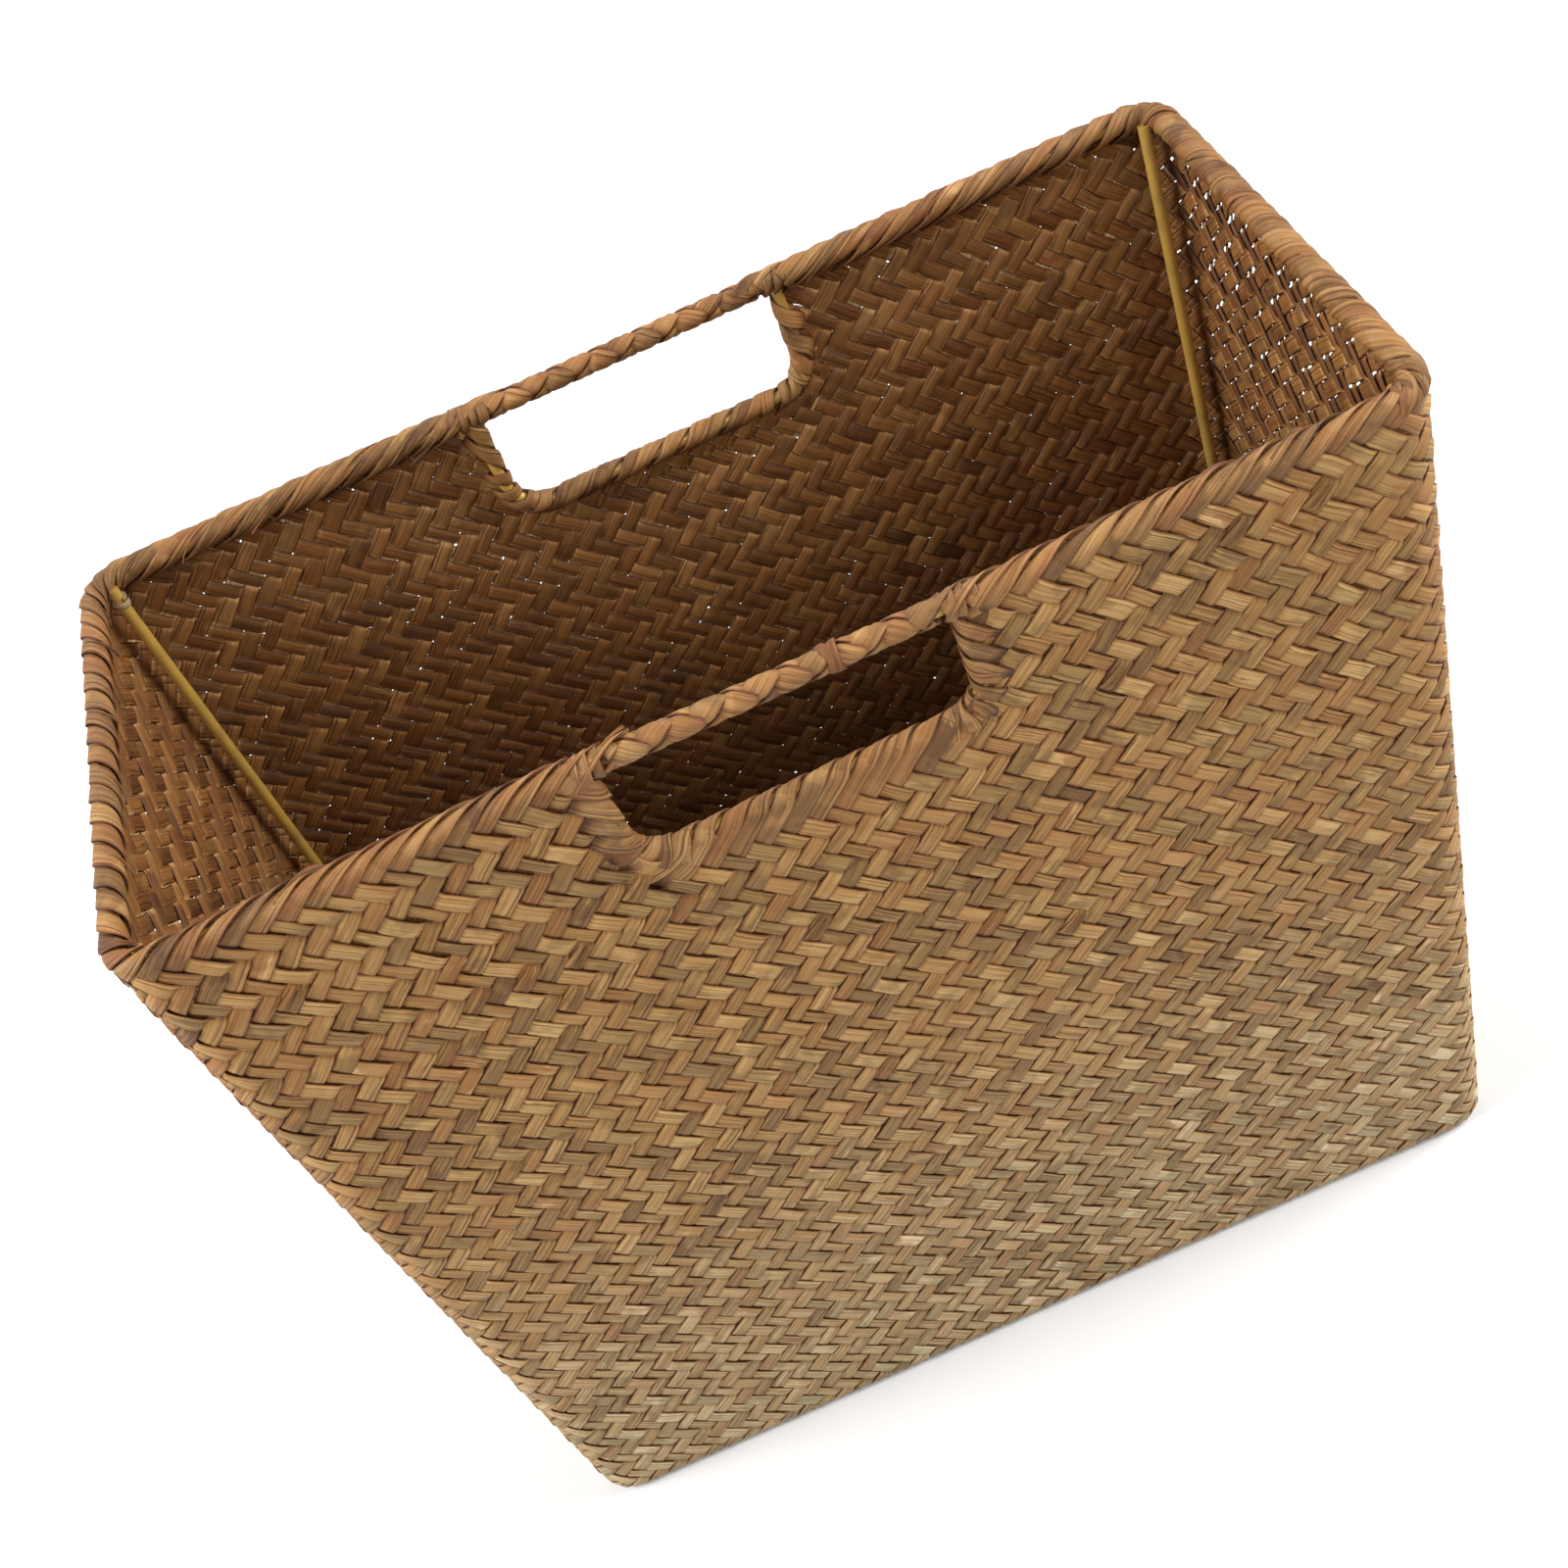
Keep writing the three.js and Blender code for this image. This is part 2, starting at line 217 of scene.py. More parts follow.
@dataclass(frozen=True)
class BaseSurface:
    """The flat base. A place on it is x, and minus the distance from the front wall."""

    shell: Shell

    def place(self, flat: Array, lift: Array) -> Array:
        """Carries flat places to the base, where a strand is lifted downwards.

        Args:
            flat: x and minus the distance from the front wall.
            lift: distance down from the middle of the weave.

        Returns:
            One point for each place.
        """
        shell = self.shell
        y = -shell.base_half[1] - flat[:, 1]
        z = shell.base_z - shell.weave_offset - lift * shell.base_lift_share
        return np.stack([flat[:, 0], y, z], axis=-1)


@dataclass(frozen=True)
class Fold:
    """The way of a strand up a wall, round a wire and down on the other side.

    It lies in a plane across the wire. The first coordinate points out of the basket and the second
    away from the wall that the wire edges.
    """

    radius: float
    start: Pair
    end: Pair
    tuck_length: float = 0.003

    def tangent_angle(self, point: Pair, sense: int) -> float:
        """The angle at which a straight line from a point meets the round part."""
        distance = math.hypot(*point)
        return math.atan2(point[1], point[0]) + sense * math.acos(self.radius / distance)

    @property
    def angles(self) -> Pair:
        """Where the round part starts and ends."""
        return self.tangent_angle(self.start, 1), self.tangent_angle(self.end, -1) + 2 * math.pi

    @property
    def rise(self) -> float:
        """Length of the straight part before the round one."""
        return math.sqrt(self.start[0] ** 2 + self.start[1] ** 2 - self.radius**2)

    @property
    def length(self) -> float:
        """Length of the whole way."""
        first, last = self.angles
        fall = math.sqrt(self.end[0] ** 2 + self.end[1] ** 2 - self.radius**2)
        return self.rise + (last - first) * self.radius + fall

    @property
    def crest(self) -> float:
        """Length of the way up to its highest place."""
        return self.rise + (math.pi / 2 - self.angles[0]) * self.radius

    def tucked(self, way: Array) -> Array:
        """How far a strand is pushed in behind the others at the end of the way, from 0 to 1."""
        return np.clip(1 - (self.length - way) / self.tuck_length, 0.0, 1.0)

    def place(self, way: Array, lift: Array) -> tuple[Array, Array]:
        """Carries lengths along the way to the plane across the wire.

        Args:
            way: length from the start.
            lift: distance off the way, away from the wire.

        Returns:
            The distances out of the basket and away from the wall.
        """
        first, last = self.angles
        angle = np.clip(first + (way - self.rise) / self.radius, first, last)
        rest = way - self.rise - (angle - first) * self.radius
        far = self.radius + lift
        out = far * np.cos(angle) - rest * np.sin(angle)
        away = far * np.sin(angle) + rest * np.cos(angle)
        return out, away


@dataclass(frozen=True)
class RimSurface:
    """The fold over the rim wire. A place on it is u, and the length of the way over the wire."""

    shell: Shell
    fold: Fold

    def place(self, flat: Array, lift: Array) -> Array:
        """Carries flat places to the rim.

        Args:
            flat: u and the way over the wire of each place.
            lift: distance off the fold.

        Returns:
            One point for each place.
        """
        out, away = self.fold.place(flat[:, 1], lift)
        return self.shell.ring(flat[:, 0], self.shell.rim_z + away, out)


@dataclass(frozen=True)
class Handhold:
    """One handhold: its wire hangs under the rim wire in the leaning wall."""

    shell: Shell
    side: int
    leg_x: float
    sill_drop: float
    bend_radius: float = 0.0134
    leg_reach: float = 0.0065
    corner_reach: float = 0.003
    top_margin: float = 0.0035
    slack: float = 0.001
    bend_steps: int = 12

    @property
    def lean(self) -> float:
        """How far the long walls lean out."""
        spread = self.shell.rim_half[1] - self.shell.base_half[1]
        return math.atan(spread / (self.shell.rim_z - self.shell.base_z))

    @property
    def turn(self) -> Matrix:
        """Carries the handhold's own frame, with X along the rim and Z up the wall, to the basket.

        Returns:
            The transform.
        """
        half_turn = 0.0 if self.side == 0 else math.pi
        place = Matrix.Rotation(half_turn, 4, "Z")
        place @= Matrix.Translation((0.0, -self.shell.rim_half[1], self.shell.rim_z))
        return place @ Matrix.Rotation(self.lean, 4, "X")

    def to_basket(self, local: Array) -> Array:
        """Carries points from the handhold's own frame to the basket's."""
        turn = np.array(self.turn)
        return local @ turn[:3, :3].T + turn[:3, 3]

    def gap(self, flat: Array) -> Array:
        """How far places on the flat sheet lie outside the handhold wire.

        Args:
            flat: the places.

        Returns:
            Distance from the wire's middle line, negative inside the handhold.
        """
        reach = np.abs(flat[..., 0] - self.shell.middle(self.side))
        bend_z = self.shell.rim_z - self.sill_drop + self.bend_radius
        across = reach - (self.leg_x - self.bend_radius)
        below = bend_z - flat[..., 1]
        outside = np.hypot(np.maximum(across, 0.0), np.maximum(below, 0.0))
        return outside + np.minimum(np.maximum(across, below), 0.0) - self.bend_radius

    def sill_crossing(self, flat: Array) -> Array:
        """How far along the sill rising strands through flat places cross it, from its middle."""
        sill_z = self.shell.rim_z - self.sill_drop
        return flat[..., 0] - self.shell.middle(self.side) + sill_z - flat[..., 1]

    def has_sill_wrap(self, crossing: Array) -> Array:
        """Whether the strands that cross the sill there go round it."""
        return np.abs(crossing) < self.leg_x - self.bend_radius + self.corner_reach

    def leg_crossing(self, flat: Array, sign: int) -> Array:
        """How far down a leg falling strands through flat places cross it."""
        leg_u = self.shell.middle(self.side) + sign * self.leg_x
        return self.shell.rim_z - flat[..., 1] - flat[..., 0] + leg_u

    def has_leg_wrap(self, crossing: Array) -> Array:
        """Whether the strands that cross a leg there go round it."""
        low = self.sill_drop - self.bend_radius + self.corner_reach
        return (crossing > self.top_margin) & (crossing < low)

    def taken(self, family: Family, flat: Array, sill_reach: float) -> Array:
        """Whether a strand is already part of a wrap at flat places outside the handhold.

        Args:
            family: direction of the strand.
            flat: places along it.
            sill_reach: how far below the sill its wraps start.

        Returns:
            True where the wrap takes over from the plait.
        """
        u, v = flat[..., 0], flat[..., 1]
        if family is Family.RISING:
            below = self.shell.rim_z - self.sill_drop - v
            wrapped = self.has_sill_wrap(self.sill_crossing(flat))
            return (below > -self.slack) & (below < sill_reach) & wrapped
        near = np.zeros(len(flat), bool)
        for sign in (-1, 1):
            beside = sign * (u - self.shell.middle(self.side)) - self.leg_x
            wrapped = self.has_leg_wrap(self.leg_crossing(flat, sign))
            near |= (beside > -self.slack) & (beside < self.leg_reach) & wrapped
        return near

    def edge(self) -> tuple[Array, Array, Array]:
        """The wire's line down one leg, along the sill and up the other leg.

        Returns:
            Distance along the line, its points in the handhold's frame, and its directions.
        """
        steps, radius = self.bend_steps, self.bend_radius
        bend_x, bend_z = self.leg_x - radius, radius - self.sill_drop
        points, headings = [(-self.leg_x, 0.0)], [-math.pi / 2]
        for centre_x, first in ((-bend_x, math.pi), (bend_x, 1.5 * math.pi)):
            for step in range(steps + 1):
                angle = first + math.pi / 2 * step / steps
                points.append((centre_x + radius * math.cos(angle), bend_z + radius * math.sin(angle)))
                headings.append(angle - 1.5 * math.pi)
        points.append((self.leg_x, 0.0))
        headings.append(math.pi / 2)
        line = np.array(points)
        distance = np.concatenate([[0.0], np.cumsum(np.hypot(*np.diff(line, axis=0).T))])
        return distance, line, np.array(headings)


@dataclass(frozen=True)
class HandholdSurface:
    """The fold over the handhold wire. A place on it is the distance along the wire, and the way."""

    handhold: Handhold
    fold: Fold

    def place(self, flat: Array, lift: Array) -> Array:
        """Carries flat places to the handhold's edge.

        Args:
            flat: distance along the wire and way over it.
            lift: distance off the fold.

        Returns:
            One point for each place.
        """
        distance, line, headings = self.handhold.edge()
        x = np.interp(flat[:, 0], distance, line[:, 0])
        z = np.interp(flat[:, 0], distance, line[:, 1])
        heading = np.interp(flat[:, 0], distance, headings)
        out, away = self.fold.place(flat[:, 1], lift)
        local = np.stack([x - away * np.sin(heading), -out, z + away * np.cos(heading)], axis=-1)
        return self.handhold.to_basket(local)


@dataclass(frozen=True)
class WireSurface:
    """A round sleeve on a straight wire. A place on it is the distance along, and the way round."""

    start: Vector
    end: Vector
    radius: float
    zenith: Triple = (0.0, 0.0, 1.0)

    def place(self, flat: Array, lift: Array) -> Array:
        """Carries flat places to the sleeve.

        Args:
            flat: distance from the start, and way round from the zenith.
            lift: distance off the sleeve.

        Returns:
            One point for each place.
        """
        axis = (self.end - self.start).normalized()
        side = Vector(self.zenith).cross(axis).normalized()
        top = axis.cross(side)
        angle = (flat[:, 1] / self.radius)[:, None]
        spoke = np.cos(angle) * np.array(top) + np.sin(angle) * np.array(side)
        centre = np.array(self.start) + flat[:, :1] * np.array(axis)
        return centre + spoke * (self.radius + lift)[:, None]


# Strands


def to_mesh(bm: bmesh.types.BMesh, name: str) -> bpy.types.Mesh:
    """Turns an edited mesh into a mesh of the file.

    Args:
        bm: the edited mesh, which is done with after this.
        name: the new mesh's name.

    Returns:
        The new mesh.
    """
    mesh = bpy.data.meshes.new(name)
    bm.to_mesh(mesh)
    bm.free()
    return mesh


def link(name: str, data: bpy.types.ID) -> bpy.types.Object:
    """Puts a mesh, a lamp or a camera into the scene."""
    linked = bpy.data.objects.new(name, data)
    bpy.context.scene.collection.objects.link(linked)
    return linked


def smooth(share: Array) -> Array:
    """Rounds off both ends of a way from 0 to 1."""
    return share * share * (3 - 2 * share)


def tapered(share: Array, taper: float) -> Array:
    """Rises from 0 at both ends of a strand to 1, each over the same share of its length."""
    return np.clip(np.minimum(share, 1 - share) / taper, 0.0, 1.0)


def sense(values: Array) -> Array:
    """The sign of each value, where one that is all but 0 counts as 0."""
    return np.sign(np.rint(values * 4))


@dataclass
class Strand:
    """One strand, as stations along its middle line on a flat sheet.

    Width, tilt and shade may each be one value for the whole strand.

    Attributes:
        line: flat place of each station.
        lift: height of each station off the surface.
        half_width: half of the strand's width at each station.
        tilt: how far the strand's right edge stands above its middle, looking along it.
        shade: painted shade at each station, mostly by how deep it lies under other strands, from 0 to
            1.
        number: tells strands apart, so that a strand keeps its colour from piece to piece.
        origin: distance along the strand at its first station.
    """

    line: Array
    lift: Array
    half_width: Array | float
    tilt: Array | float
    shade: Array | float
    number: float
    origin: float = 0.0

    def __post_init__(self) -> None:
        """Gives every station its own width, tilt and shade."""
        for name in ("half_width", "tilt", "shade"):
            setattr(self, name, np.broadcast_to(getattr(self, name), self.lift.shape))

    @property
    def distance(self) -> Array:
        """Distance of each station along the strand."""
        steps = np.hypot(*np.diff(self.line, axis=0).T)
        return self.origin + np.concatenate([[0.0], np.cumsum(steps)])


@dataclass(frozen=True)
class StrandMaker:
    """Makes strands into one mesh: every strand is a rod, flattened and bent to its place.

    Attributes:
        segments: number of sides of a rod. Eight do on flat walls, and wires need twelve.
        squareness: power that moves the sides of the round rod out towards its edges.
        thickness: thickness of a strand's edges.
        crown: how far the middle of each face stands above its edges.
    """

    segments: int = 8
    squareness: float = 0.3
    thickness: float = 0.00045
    crown: float = 0.00012

    def rod(self, steps: int) -> bpy.types.Mesh:
        """A straight rod, one unit long, with rings at equal steps.

        Args:
            steps: number of stretches between rings.

        Returns:
            A mesh that is used again for every strand of as many steps.
        """
        name = f"rod_{self.segments}_{steps}"
        if name in bpy.data.meshes:
            return bpy.data.meshes[name]
        bm = bmesh.new()
        bmesh.ops.create_cone(bm, cap_ends=True, segments=self.segments, radius1=1, radius2=1, depth=1)
        if steps > 1:
            long_edges = [e for e in bm.edges if abs(e.verts[0].co.z - e.verts[1].co.z) > 0.5]
            bmesh.ops.subdivide_edges(bm, edges=long_edges, cuts=steps - 1)
        return to_mesh(bm, name)

    def build(self, name: str, strands: list[Strand], surface: Surface) -> bpy.types.Object:
        """Builds one piece of strands.

        Args:
            name: the piece's name.
            strands: what the piece is made of.
            surface: what the strands lie on.

        Returns:
            The piece, linked to the scene.
        """
        bm = bmesh.new()
        for strand in strands:
            bm.from_mesh(self.rod(len(strand.lift) - 1))
        mesh = to_mesh(bm, name)
        self.lay(mesh, strands, surface)
        return link(name, mesh)

    def lay(self, mesh: bpy.types.Mesh, strands: list[Strand], surface: Surface) -> None:
        """Moves the rods of a mesh to where their strands lie, and notes what the finish needs.

        Args:
            mesh: rods in the order of the strands.
            strands: the strands.
            surface: what the strands lie on.
        """
        rod = np.zeros(len(mesh.vertices) * 3)
        mesh.vertices.foreach_get("co", rod)
        rod = rod.reshape(-1, 3)
        counts = np.array([len(strand.lift) for strand in strands])
        owner = np.repeat(np.arange(len(strands)), counts * self.segments)
        first = np.concatenate([[0], np.cumsum(counts)[:-1]])
        ring = np.rint((rod[:, 2] + 0.5) * (counts[owner] - 1)).astype(int)
        station = first[owner] + ring

        def gather(values: Iterable[Array]) -> Array:
            """Joins the strands' values and gives each vertex its station's own."""
            return np.concatenate(list(values))[station]

        line = gather(strand.line for strand in strands)
        heading = gather(np.gradient(strand.line, axis=0) for strand in strands)
        heading /= np.linalg.norm(heading, axis=1)[:, None]
        half_width = gather(strand.half_width for strand in strands)
        share = sense(rod[:, 1]) * np.abs(rod[:, 1]) ** self.squareness
        face = sense(rod[:, 0])
        tilt = gather(strand.tilt for strand in strands)
        lift = gather(strand.lift for strand in strands) + share * tilt
        lift += face * (self.thickness / 2 + self.crown * (1 - share * share))
        right = np.stack([heading[:, 1], -heading[:, 0]], axis=-1)
        flat = line + right * (share * half_width)[:, None]
        points = surface.place(flat, lift)
        mesh.vertices.foreach_set("co", points.astype(np.float32).ravel())

        along = gather(strand.distance for strand in strands)
        number = np.array([strand.number for strand in strands])[owner]
        place = np.stack([share, along, number], axis=-1)
        shade = gather(strand.shade for strand in strands)
        self.note(mesh, "strand", "FLOAT_VECTOR", "vector", place)
        self.note(mesh, "shade", "FLOAT", "value", shade)
        self.note(mesh, "face", "FLOAT", "value", face)
        mesh.polygons.foreach_set("use_smooth", np.ones(len(mesh.polygons), bool))
        mesh.update()

    @staticmethod
    def note(mesh: bpy.types.Mesh, name: str, kind: str, field_name: str, values: Array) -> None:
        """Keeps a value for each vertex, where the finishes read it."""
        attribute = mesh.attributes.new(name, kind, "POINT")
        attribute.data.foreach_set(field_name, values.astype(np.float32).ravel())


class Unevenness:
    """Smooth wandering that differs from strand to strand and is the same in every run."""

    LOW_RATES = (0.12, 0.35, 0.9)
    HIGH_RATES = (0.3, 0.8, 1.7)
    SPEED = 1.6
    SIZES = (0.45, 0.35, 0.3)

    def __init__(self, seed: int, count: int) -> None:
        """Draws the waves of every strand.

        Args:
            seed: picks the waves.
            count: number of strands.
        """
        draw = np.random.default_rng(seed)
        self.level = draw.uniform(-1.0, 1.0, count)
        self.phase = draw.uniform(0.0, 2 * math.pi, (count, 3))
        self.rate = draw.uniform(self.LOW_RATES, self.HIGH_RATES, (count, 3))

    def constant(self, number: int) -> float:
        """A level for one strand, from -1 to 1."""
        return float(self.level[number % len(self.level)])

    def along(self, number: int, distance: Array) -> Array:
        """A wave along one strand, from about -1 to 1.

        Args:
            number: the strand.
            distance: places along it, in crossings.

        Returns:
            The wave at each place.
        """
        row = number % len(self.level)
        waves = np.sin(distance[:, None] * self.rate[row] * self.SPEED + self.phase[row])
        return waves @ np.array(self.SIZES)


@dataclass(frozen=True)
class Twill:
    """The plait: two families of strands that cross at right angles, over two and under two.

    Places along a strand are counted in crossings. Rising strands are on top from -0.5 to 1.5, and
    every four crossings from there.
    """

    girth: float
    last_band_z: float
    count: int = 134
    relief: float = 0.00055
    steepness: float = 3.0
    start_crossing: float = -0.9
    end_crossing: float = -0.72
    stations: tuple[float, ...] = (-0.5, -0.28, 0.15, 0.85, 1.28)
    nearest: float = 0.08
    wrap_shade_depth: float = 0.001
    tuck_shade: float = 0.8

    @property
    def pitch(self) -> float:
        """Distance between strands of one family, round the basket."""
        return self.girth / self.count

    @property
    def width(self) -> float:
        """Usual width of a strand."""
        return self.pitch / math.sqrt(2)

    @property
    def zero_z(self) -> float:
        """Height at which the count of crossings starts, for the last band to end where it does."""
        return self.last_band_z + self.pitch / 4

    def crossings(self, low: float, high: float) -> Array:
        """Stations of a strand: its ends, and what the wave needs between them.

        Args:
            low: height of its lower end.
            high: height of its upper end.

        Returns:
            Places of the stations, in crossings.
        """
        first, last = ((z - self.zero_z) * 2 / self.pitch for z in (low, high))
        bands = np.arange(math.floor(first / 2) - 1, math.ceil(last / 2) + 1) * 2
        inner = (bands[:, None] + np.array(self.stations)).ravel()
        inner = inner[(inner > first + self.nearest) & (inner < last - self.nearest)]
        return np.concatenate([[first], inner, [last]])

    def wave(self, crossings: Array) -> Array:
        """Height of the rising strands, from -1 to 1; the falling ones are at minus that."""
        return np.clip(self.steepness * np.cos((crossings - 0.5) * math.pi / 2), -1.0, 1.0)

    def height(self, crossing: float, near_z: float = 1.0) -> float:
        """Height of a place in the twill's pattern, in the last band that starts below a height."""
        period = 2 * self.pitch
        first = self.zero_z + crossing * self.pitch / 2
        return first - period * max(0, math.ceil((first - near_z) / period))

    def emerging(self, way: Array) -> Array:
        """Lift of a wrap that comes out from under the plait, against that of a strand on top."""
        crossings = np.minimum(self.start_crossing + way * 2 / self.pitch, 0.5)
        return self.relief * (self.wave(crossings) - 1)

    def wrap_shade(self, way: Array, tucked: Array) -> Array:
        """Painted shade of a wrap where it emerges from under the plait and where it is tucked in."""
        deep = -self.emerging(way) / self.wrap_shade_depth
        return np.clip(deep + self.tuck_shade * tucked, 0.0, 1.0)

    def numbers(self, low_u: float, high_u: float) -> range:
        """Numbers of the strands that start between two places round the basket."""
        return range(math.floor(low_u / self.pitch), math.ceil(high_u / self.pitch))

    def line(self, family: Family, number: int, crossings: Array) -> Array:
        """Middle line of a strand on the flat sheet."""
        rise = crossings * self.pitch / 2
        u = number * self.pitch + family.value * rise
        return np.stack([u, self.zero_z + rise], axis=-1)


@dataclass(frozen=True)
class Tightness:
    """How tightly a wall is plaited.

    Attributes:
        width_share: width of its strands, as a share of the usual width.
        spread_share: how much the widths differ, as a share of the usual difference.
    """

    width_share: float = 1.0
    spread_share: float = 1.0


@dataclass
class Plait:
    """Strands of the walls and the base, by turns wider and narrower, and looser near the rim."""

    WIDTH_PHASE = 40
    TILT_PHASE = 17

    shell: Shell
    twill: Twill
    handholds: list[Handhold]
    top_z: float
    foot_v: float
    wander: float = 0.0003
    width_spread_share: float = 0.07
    own_width_share: float = 0.05
    alternate_width_shares: Pair = (0.05, 0.12)
    least_width_share: float = 0.86
    own_lift: float = 0.00008
    alternate_lifts: Pair = (0.00006, 0.00016)
    bulge_share: float = 0.16
    tilt: float = 0.00015
    tilt_spread_share: float = 0.8
    shade_share: float = 0.62
    loose_height_share: float = 0.72
    looseness: float = 1.4
    loose_width_share: float = 0.6
    press_reach: float = 0.0022
    press_fade: float = 0.0012
    base_margin: float = 0.0012
    shortest: float = 0.0022
    look_step: float = 0.0002
    sill_clearance: float = 0.004
    width: dict[Family, Unevenness] = field(init=False)
    drift: dict[Family, Unevenness] = field(init=False)
    bulge: dict[Family, Unevenness] = field(init=False)

    def __post_init__(self) -> None:
        """Draws the unevenness of both families."""
        self.width, self.drift, self.bulge = (
            {family: Unevenness(seed + row, self.twill.count) for row, family in enumerate(Family)}
            for seed in (11, 21, 31)
        )

    def strand_number(self, family: Family, number: int) -> float:
        """The number that tells a strand from all others in every piece."""
        offset = 0 if family is Family.RISING else self.twill.count
        return float(number % self.twill.count + offset)

    def strand(
        self,
        family: Family,
        number: int,
        low: float,
        high: float,
        tightness: Tightness = Tightness(),
    ) -> Strand:
        """One strand between two heights.

        Args:
            family: direction of the strand.
            number: which strand of the family.
            low: height of its lower end on the flat sheet.
            high: height of its upper end.
            tightness: how tightly its wall is plaited.

        Returns:
            The strand on the flat sheet.
        """
        twill = self.twill
        crossings = twill.crossings(low, high)
        line = twill.line(family, number, crossings)
        up_share = np.clip(line[:, 1] / self.shell.rim_z, 0.0, 1.0)
        near_rim = (up_share - self.loose_height_share) / (1 - self.loose_height_share)
        looseness = 1 + self.looseness * np.clip(near_rim, 0.0, 1.0)
        alternate = 1 - 2 * (number % 2)
        row = 0 if family is Family.RISING else 1
        width, drift, bulge = self.width[family], self.drift[family], self.bulge[family]
        sideways = self.wander * looseness * drift.along(number, crossings)
        right = np.array([1.0, -family.value]) / math.sqrt(2)
        line += right * sideways[:, None]
        spread = self.width_spread_share * (1 + self.loose_width_share * (looseness - 1))
        spread *= width.along(number, crossings + self.WIDTH_PHASE)
        spread += self.own_width_share * width.constant(number)
        spread += self.alternate_width_shares[row] * alternate
        width_share = np.maximum(1 + spread * tightness.spread_share, self.least_width_share)
        wave = twill.wave(crossings) * family.value
        lift = wave * twill.relief * (1 + self.bulge_share * bulge.along(number, crossings))
        lift += self.own_lift * bulge.constant(number) + self.alternate_lifts[row] * alternate
        pressed = self.pressed(line)
        tilt = 1 + self.tilt_spread_share * bulge.along(number, crossings + self.TILT_PHASE)
        return Strand(
            line=line,
            lift=lift * (1 - pressed) - pressed * twill.relief,
            half_width=twill.width / 2 * tightness.width_share * width_share,
            tilt=self.tilt * looseness * tilt,
            # Painted shade: darker where the strand dives under the crossing strands
            shade=np.clip(0.5 - self.shade_share * wave, 0.0, 1.0),
            number=self.strand_number(family, number),
            origin=float(crossings[0] * twill.pitch / math.sqrt(2)),
        )

    def pressed(self, line: Array) -> Array:
        """How far the wraps of the handholds press the plait in.

        Args:
            line: places on the flat sheet.

        Returns:
            0 where they leave it alone, up to 1.
        """
        pressed = np.zeros(len(line))
        for handhold in self.handholds:
            beside = np.abs(line[:, 0] - self.shell.middle(handhold.side)) - handhold.leg_x
            reach = np.where(beside > 0.0, handhold.leg_reach, self.press_reach)
            beyond = (handhold.gap(line) - reach) / self.press_fade
            pressed = np.maximum(pressed, np.clip(1 - beyond, 0.0, 1.0))
        return pressed

    def runs(
        self,
        family: Family,
        number: int,
        low: float,
        high: float,
        keep: Callable[[Array], Array],
    ) -> list[Pair]:
        """The stretches of a strand that lie where the plait is.

        Args:
            family: direction of the strand.
            number: which strand of the family.
            low: height of its lower end.
            high: height of its upper end.
            keep: tells which flat places belong to the plait.

        Returns:
            Lower and upper end of each stretch.
        """
        twill = self.twill
        if high - low < self.shortest:
            return []
        heights = np.linspace(low, high, 2 + int((high - low) / self.look_step))
        rise = heights - twill.zero_z
        flat = np.stack([number * twill.pitch + family.value * rise, heights], axis=-1)
        kept = keep(flat).astype(int)
        changes = np.flatnonzero(np.diff(np.concatenate([[0], kept, [0]])))
        runs = [(heights[a], heights[b - 1]) for a, b in zip(changes[::2], changes[1::2])]
        return [(a, b) for a, b in runs if b - a > self.shortest]

    @property
    def sill_reach(self) -> float:
        """How far below a sill its wraps come out of the plait."""
        sill_z = self.shell.rim_z - self.handholds[0].sill_drop
        return sill_z - self.twill.height(self.twill.start_crossing, sill_z - self.sill_clearance)

    def end_height(self, family: Family) -> float:
        """Where the strands of a family end under the rim."""
        if family is Family.FALLING:
            return self.top_z
        return self.twill.height(self.twill.end_crossing)

    def wall(self, side: int, family: Family, tightness: Tightness) -> list[Strand]:
        """The strands of one family on one wall.

        Args:
            side: 0 to 3 for the front, right, back and left wall.
            family: direction of the strands.
            tightness: how tightly the wall is plaited.

        Returns:
            The strands, cut where the next wall starts.
        """
        twill = self.twill
        left, right = self.shell.starts[side], self.shell.starts[side + 1]
        reach = self.shell.rim_z + right - left
        sill_reach = self.sill_reach + (twill.start_crossing - twill.end_crossing) * twill.pitch / 2

        def in_plait(flat: Array) -> Array:
            """Whether places lie outside the handholds and before any wrap takes over."""
            kept = np.ones(len(flat), bool)
            for handhold in self.handholds:
                kept &= (handhold.gap(flat) > 0.0) & ~handhold.taken(family, flat, sill_reach)
            return kept

        strands = []
        for number in twill.numbers(left - reach, right + reach):
            start = number * twill.pitch
            ends = sorted(twill.zero_z + family.value * (u - start) for u in (left, right))
            low, high = max(ends[0], self.foot_v), min(ends[1], self.end_height(family))
            for run in self.runs(family, number, low, high, in_plait):
                strands.append(self.strand(family, number, *run, tightness))
        return strands

    def base(self, family: Family) -> list[Strand]:
        """The strands of one family on the base, which go on from those of the front wall.

        Args:
            family: direction of the strands.

        Returns:
            The strands on the flat base.
        """
        shell, twill = self.shell, self.twill
        middle, shift = shell.middle(0), shell.fold_v
        half = np.array(shell.base_half) - self.base_margin
        bend = shell.bend_radius - self.base_margin

        def on_base(flat: Array) -> Array:
            """Whether places lie inside the rounded outline of the base."""
            place = np.abs(flat - np.array([middle, shift - shell.base_half[1]]))
            beyond = np.maximum(place - half + bend, 0.0)
            return (place < half).all(axis=1) & (np.hypot(*beyond.T) < bend)

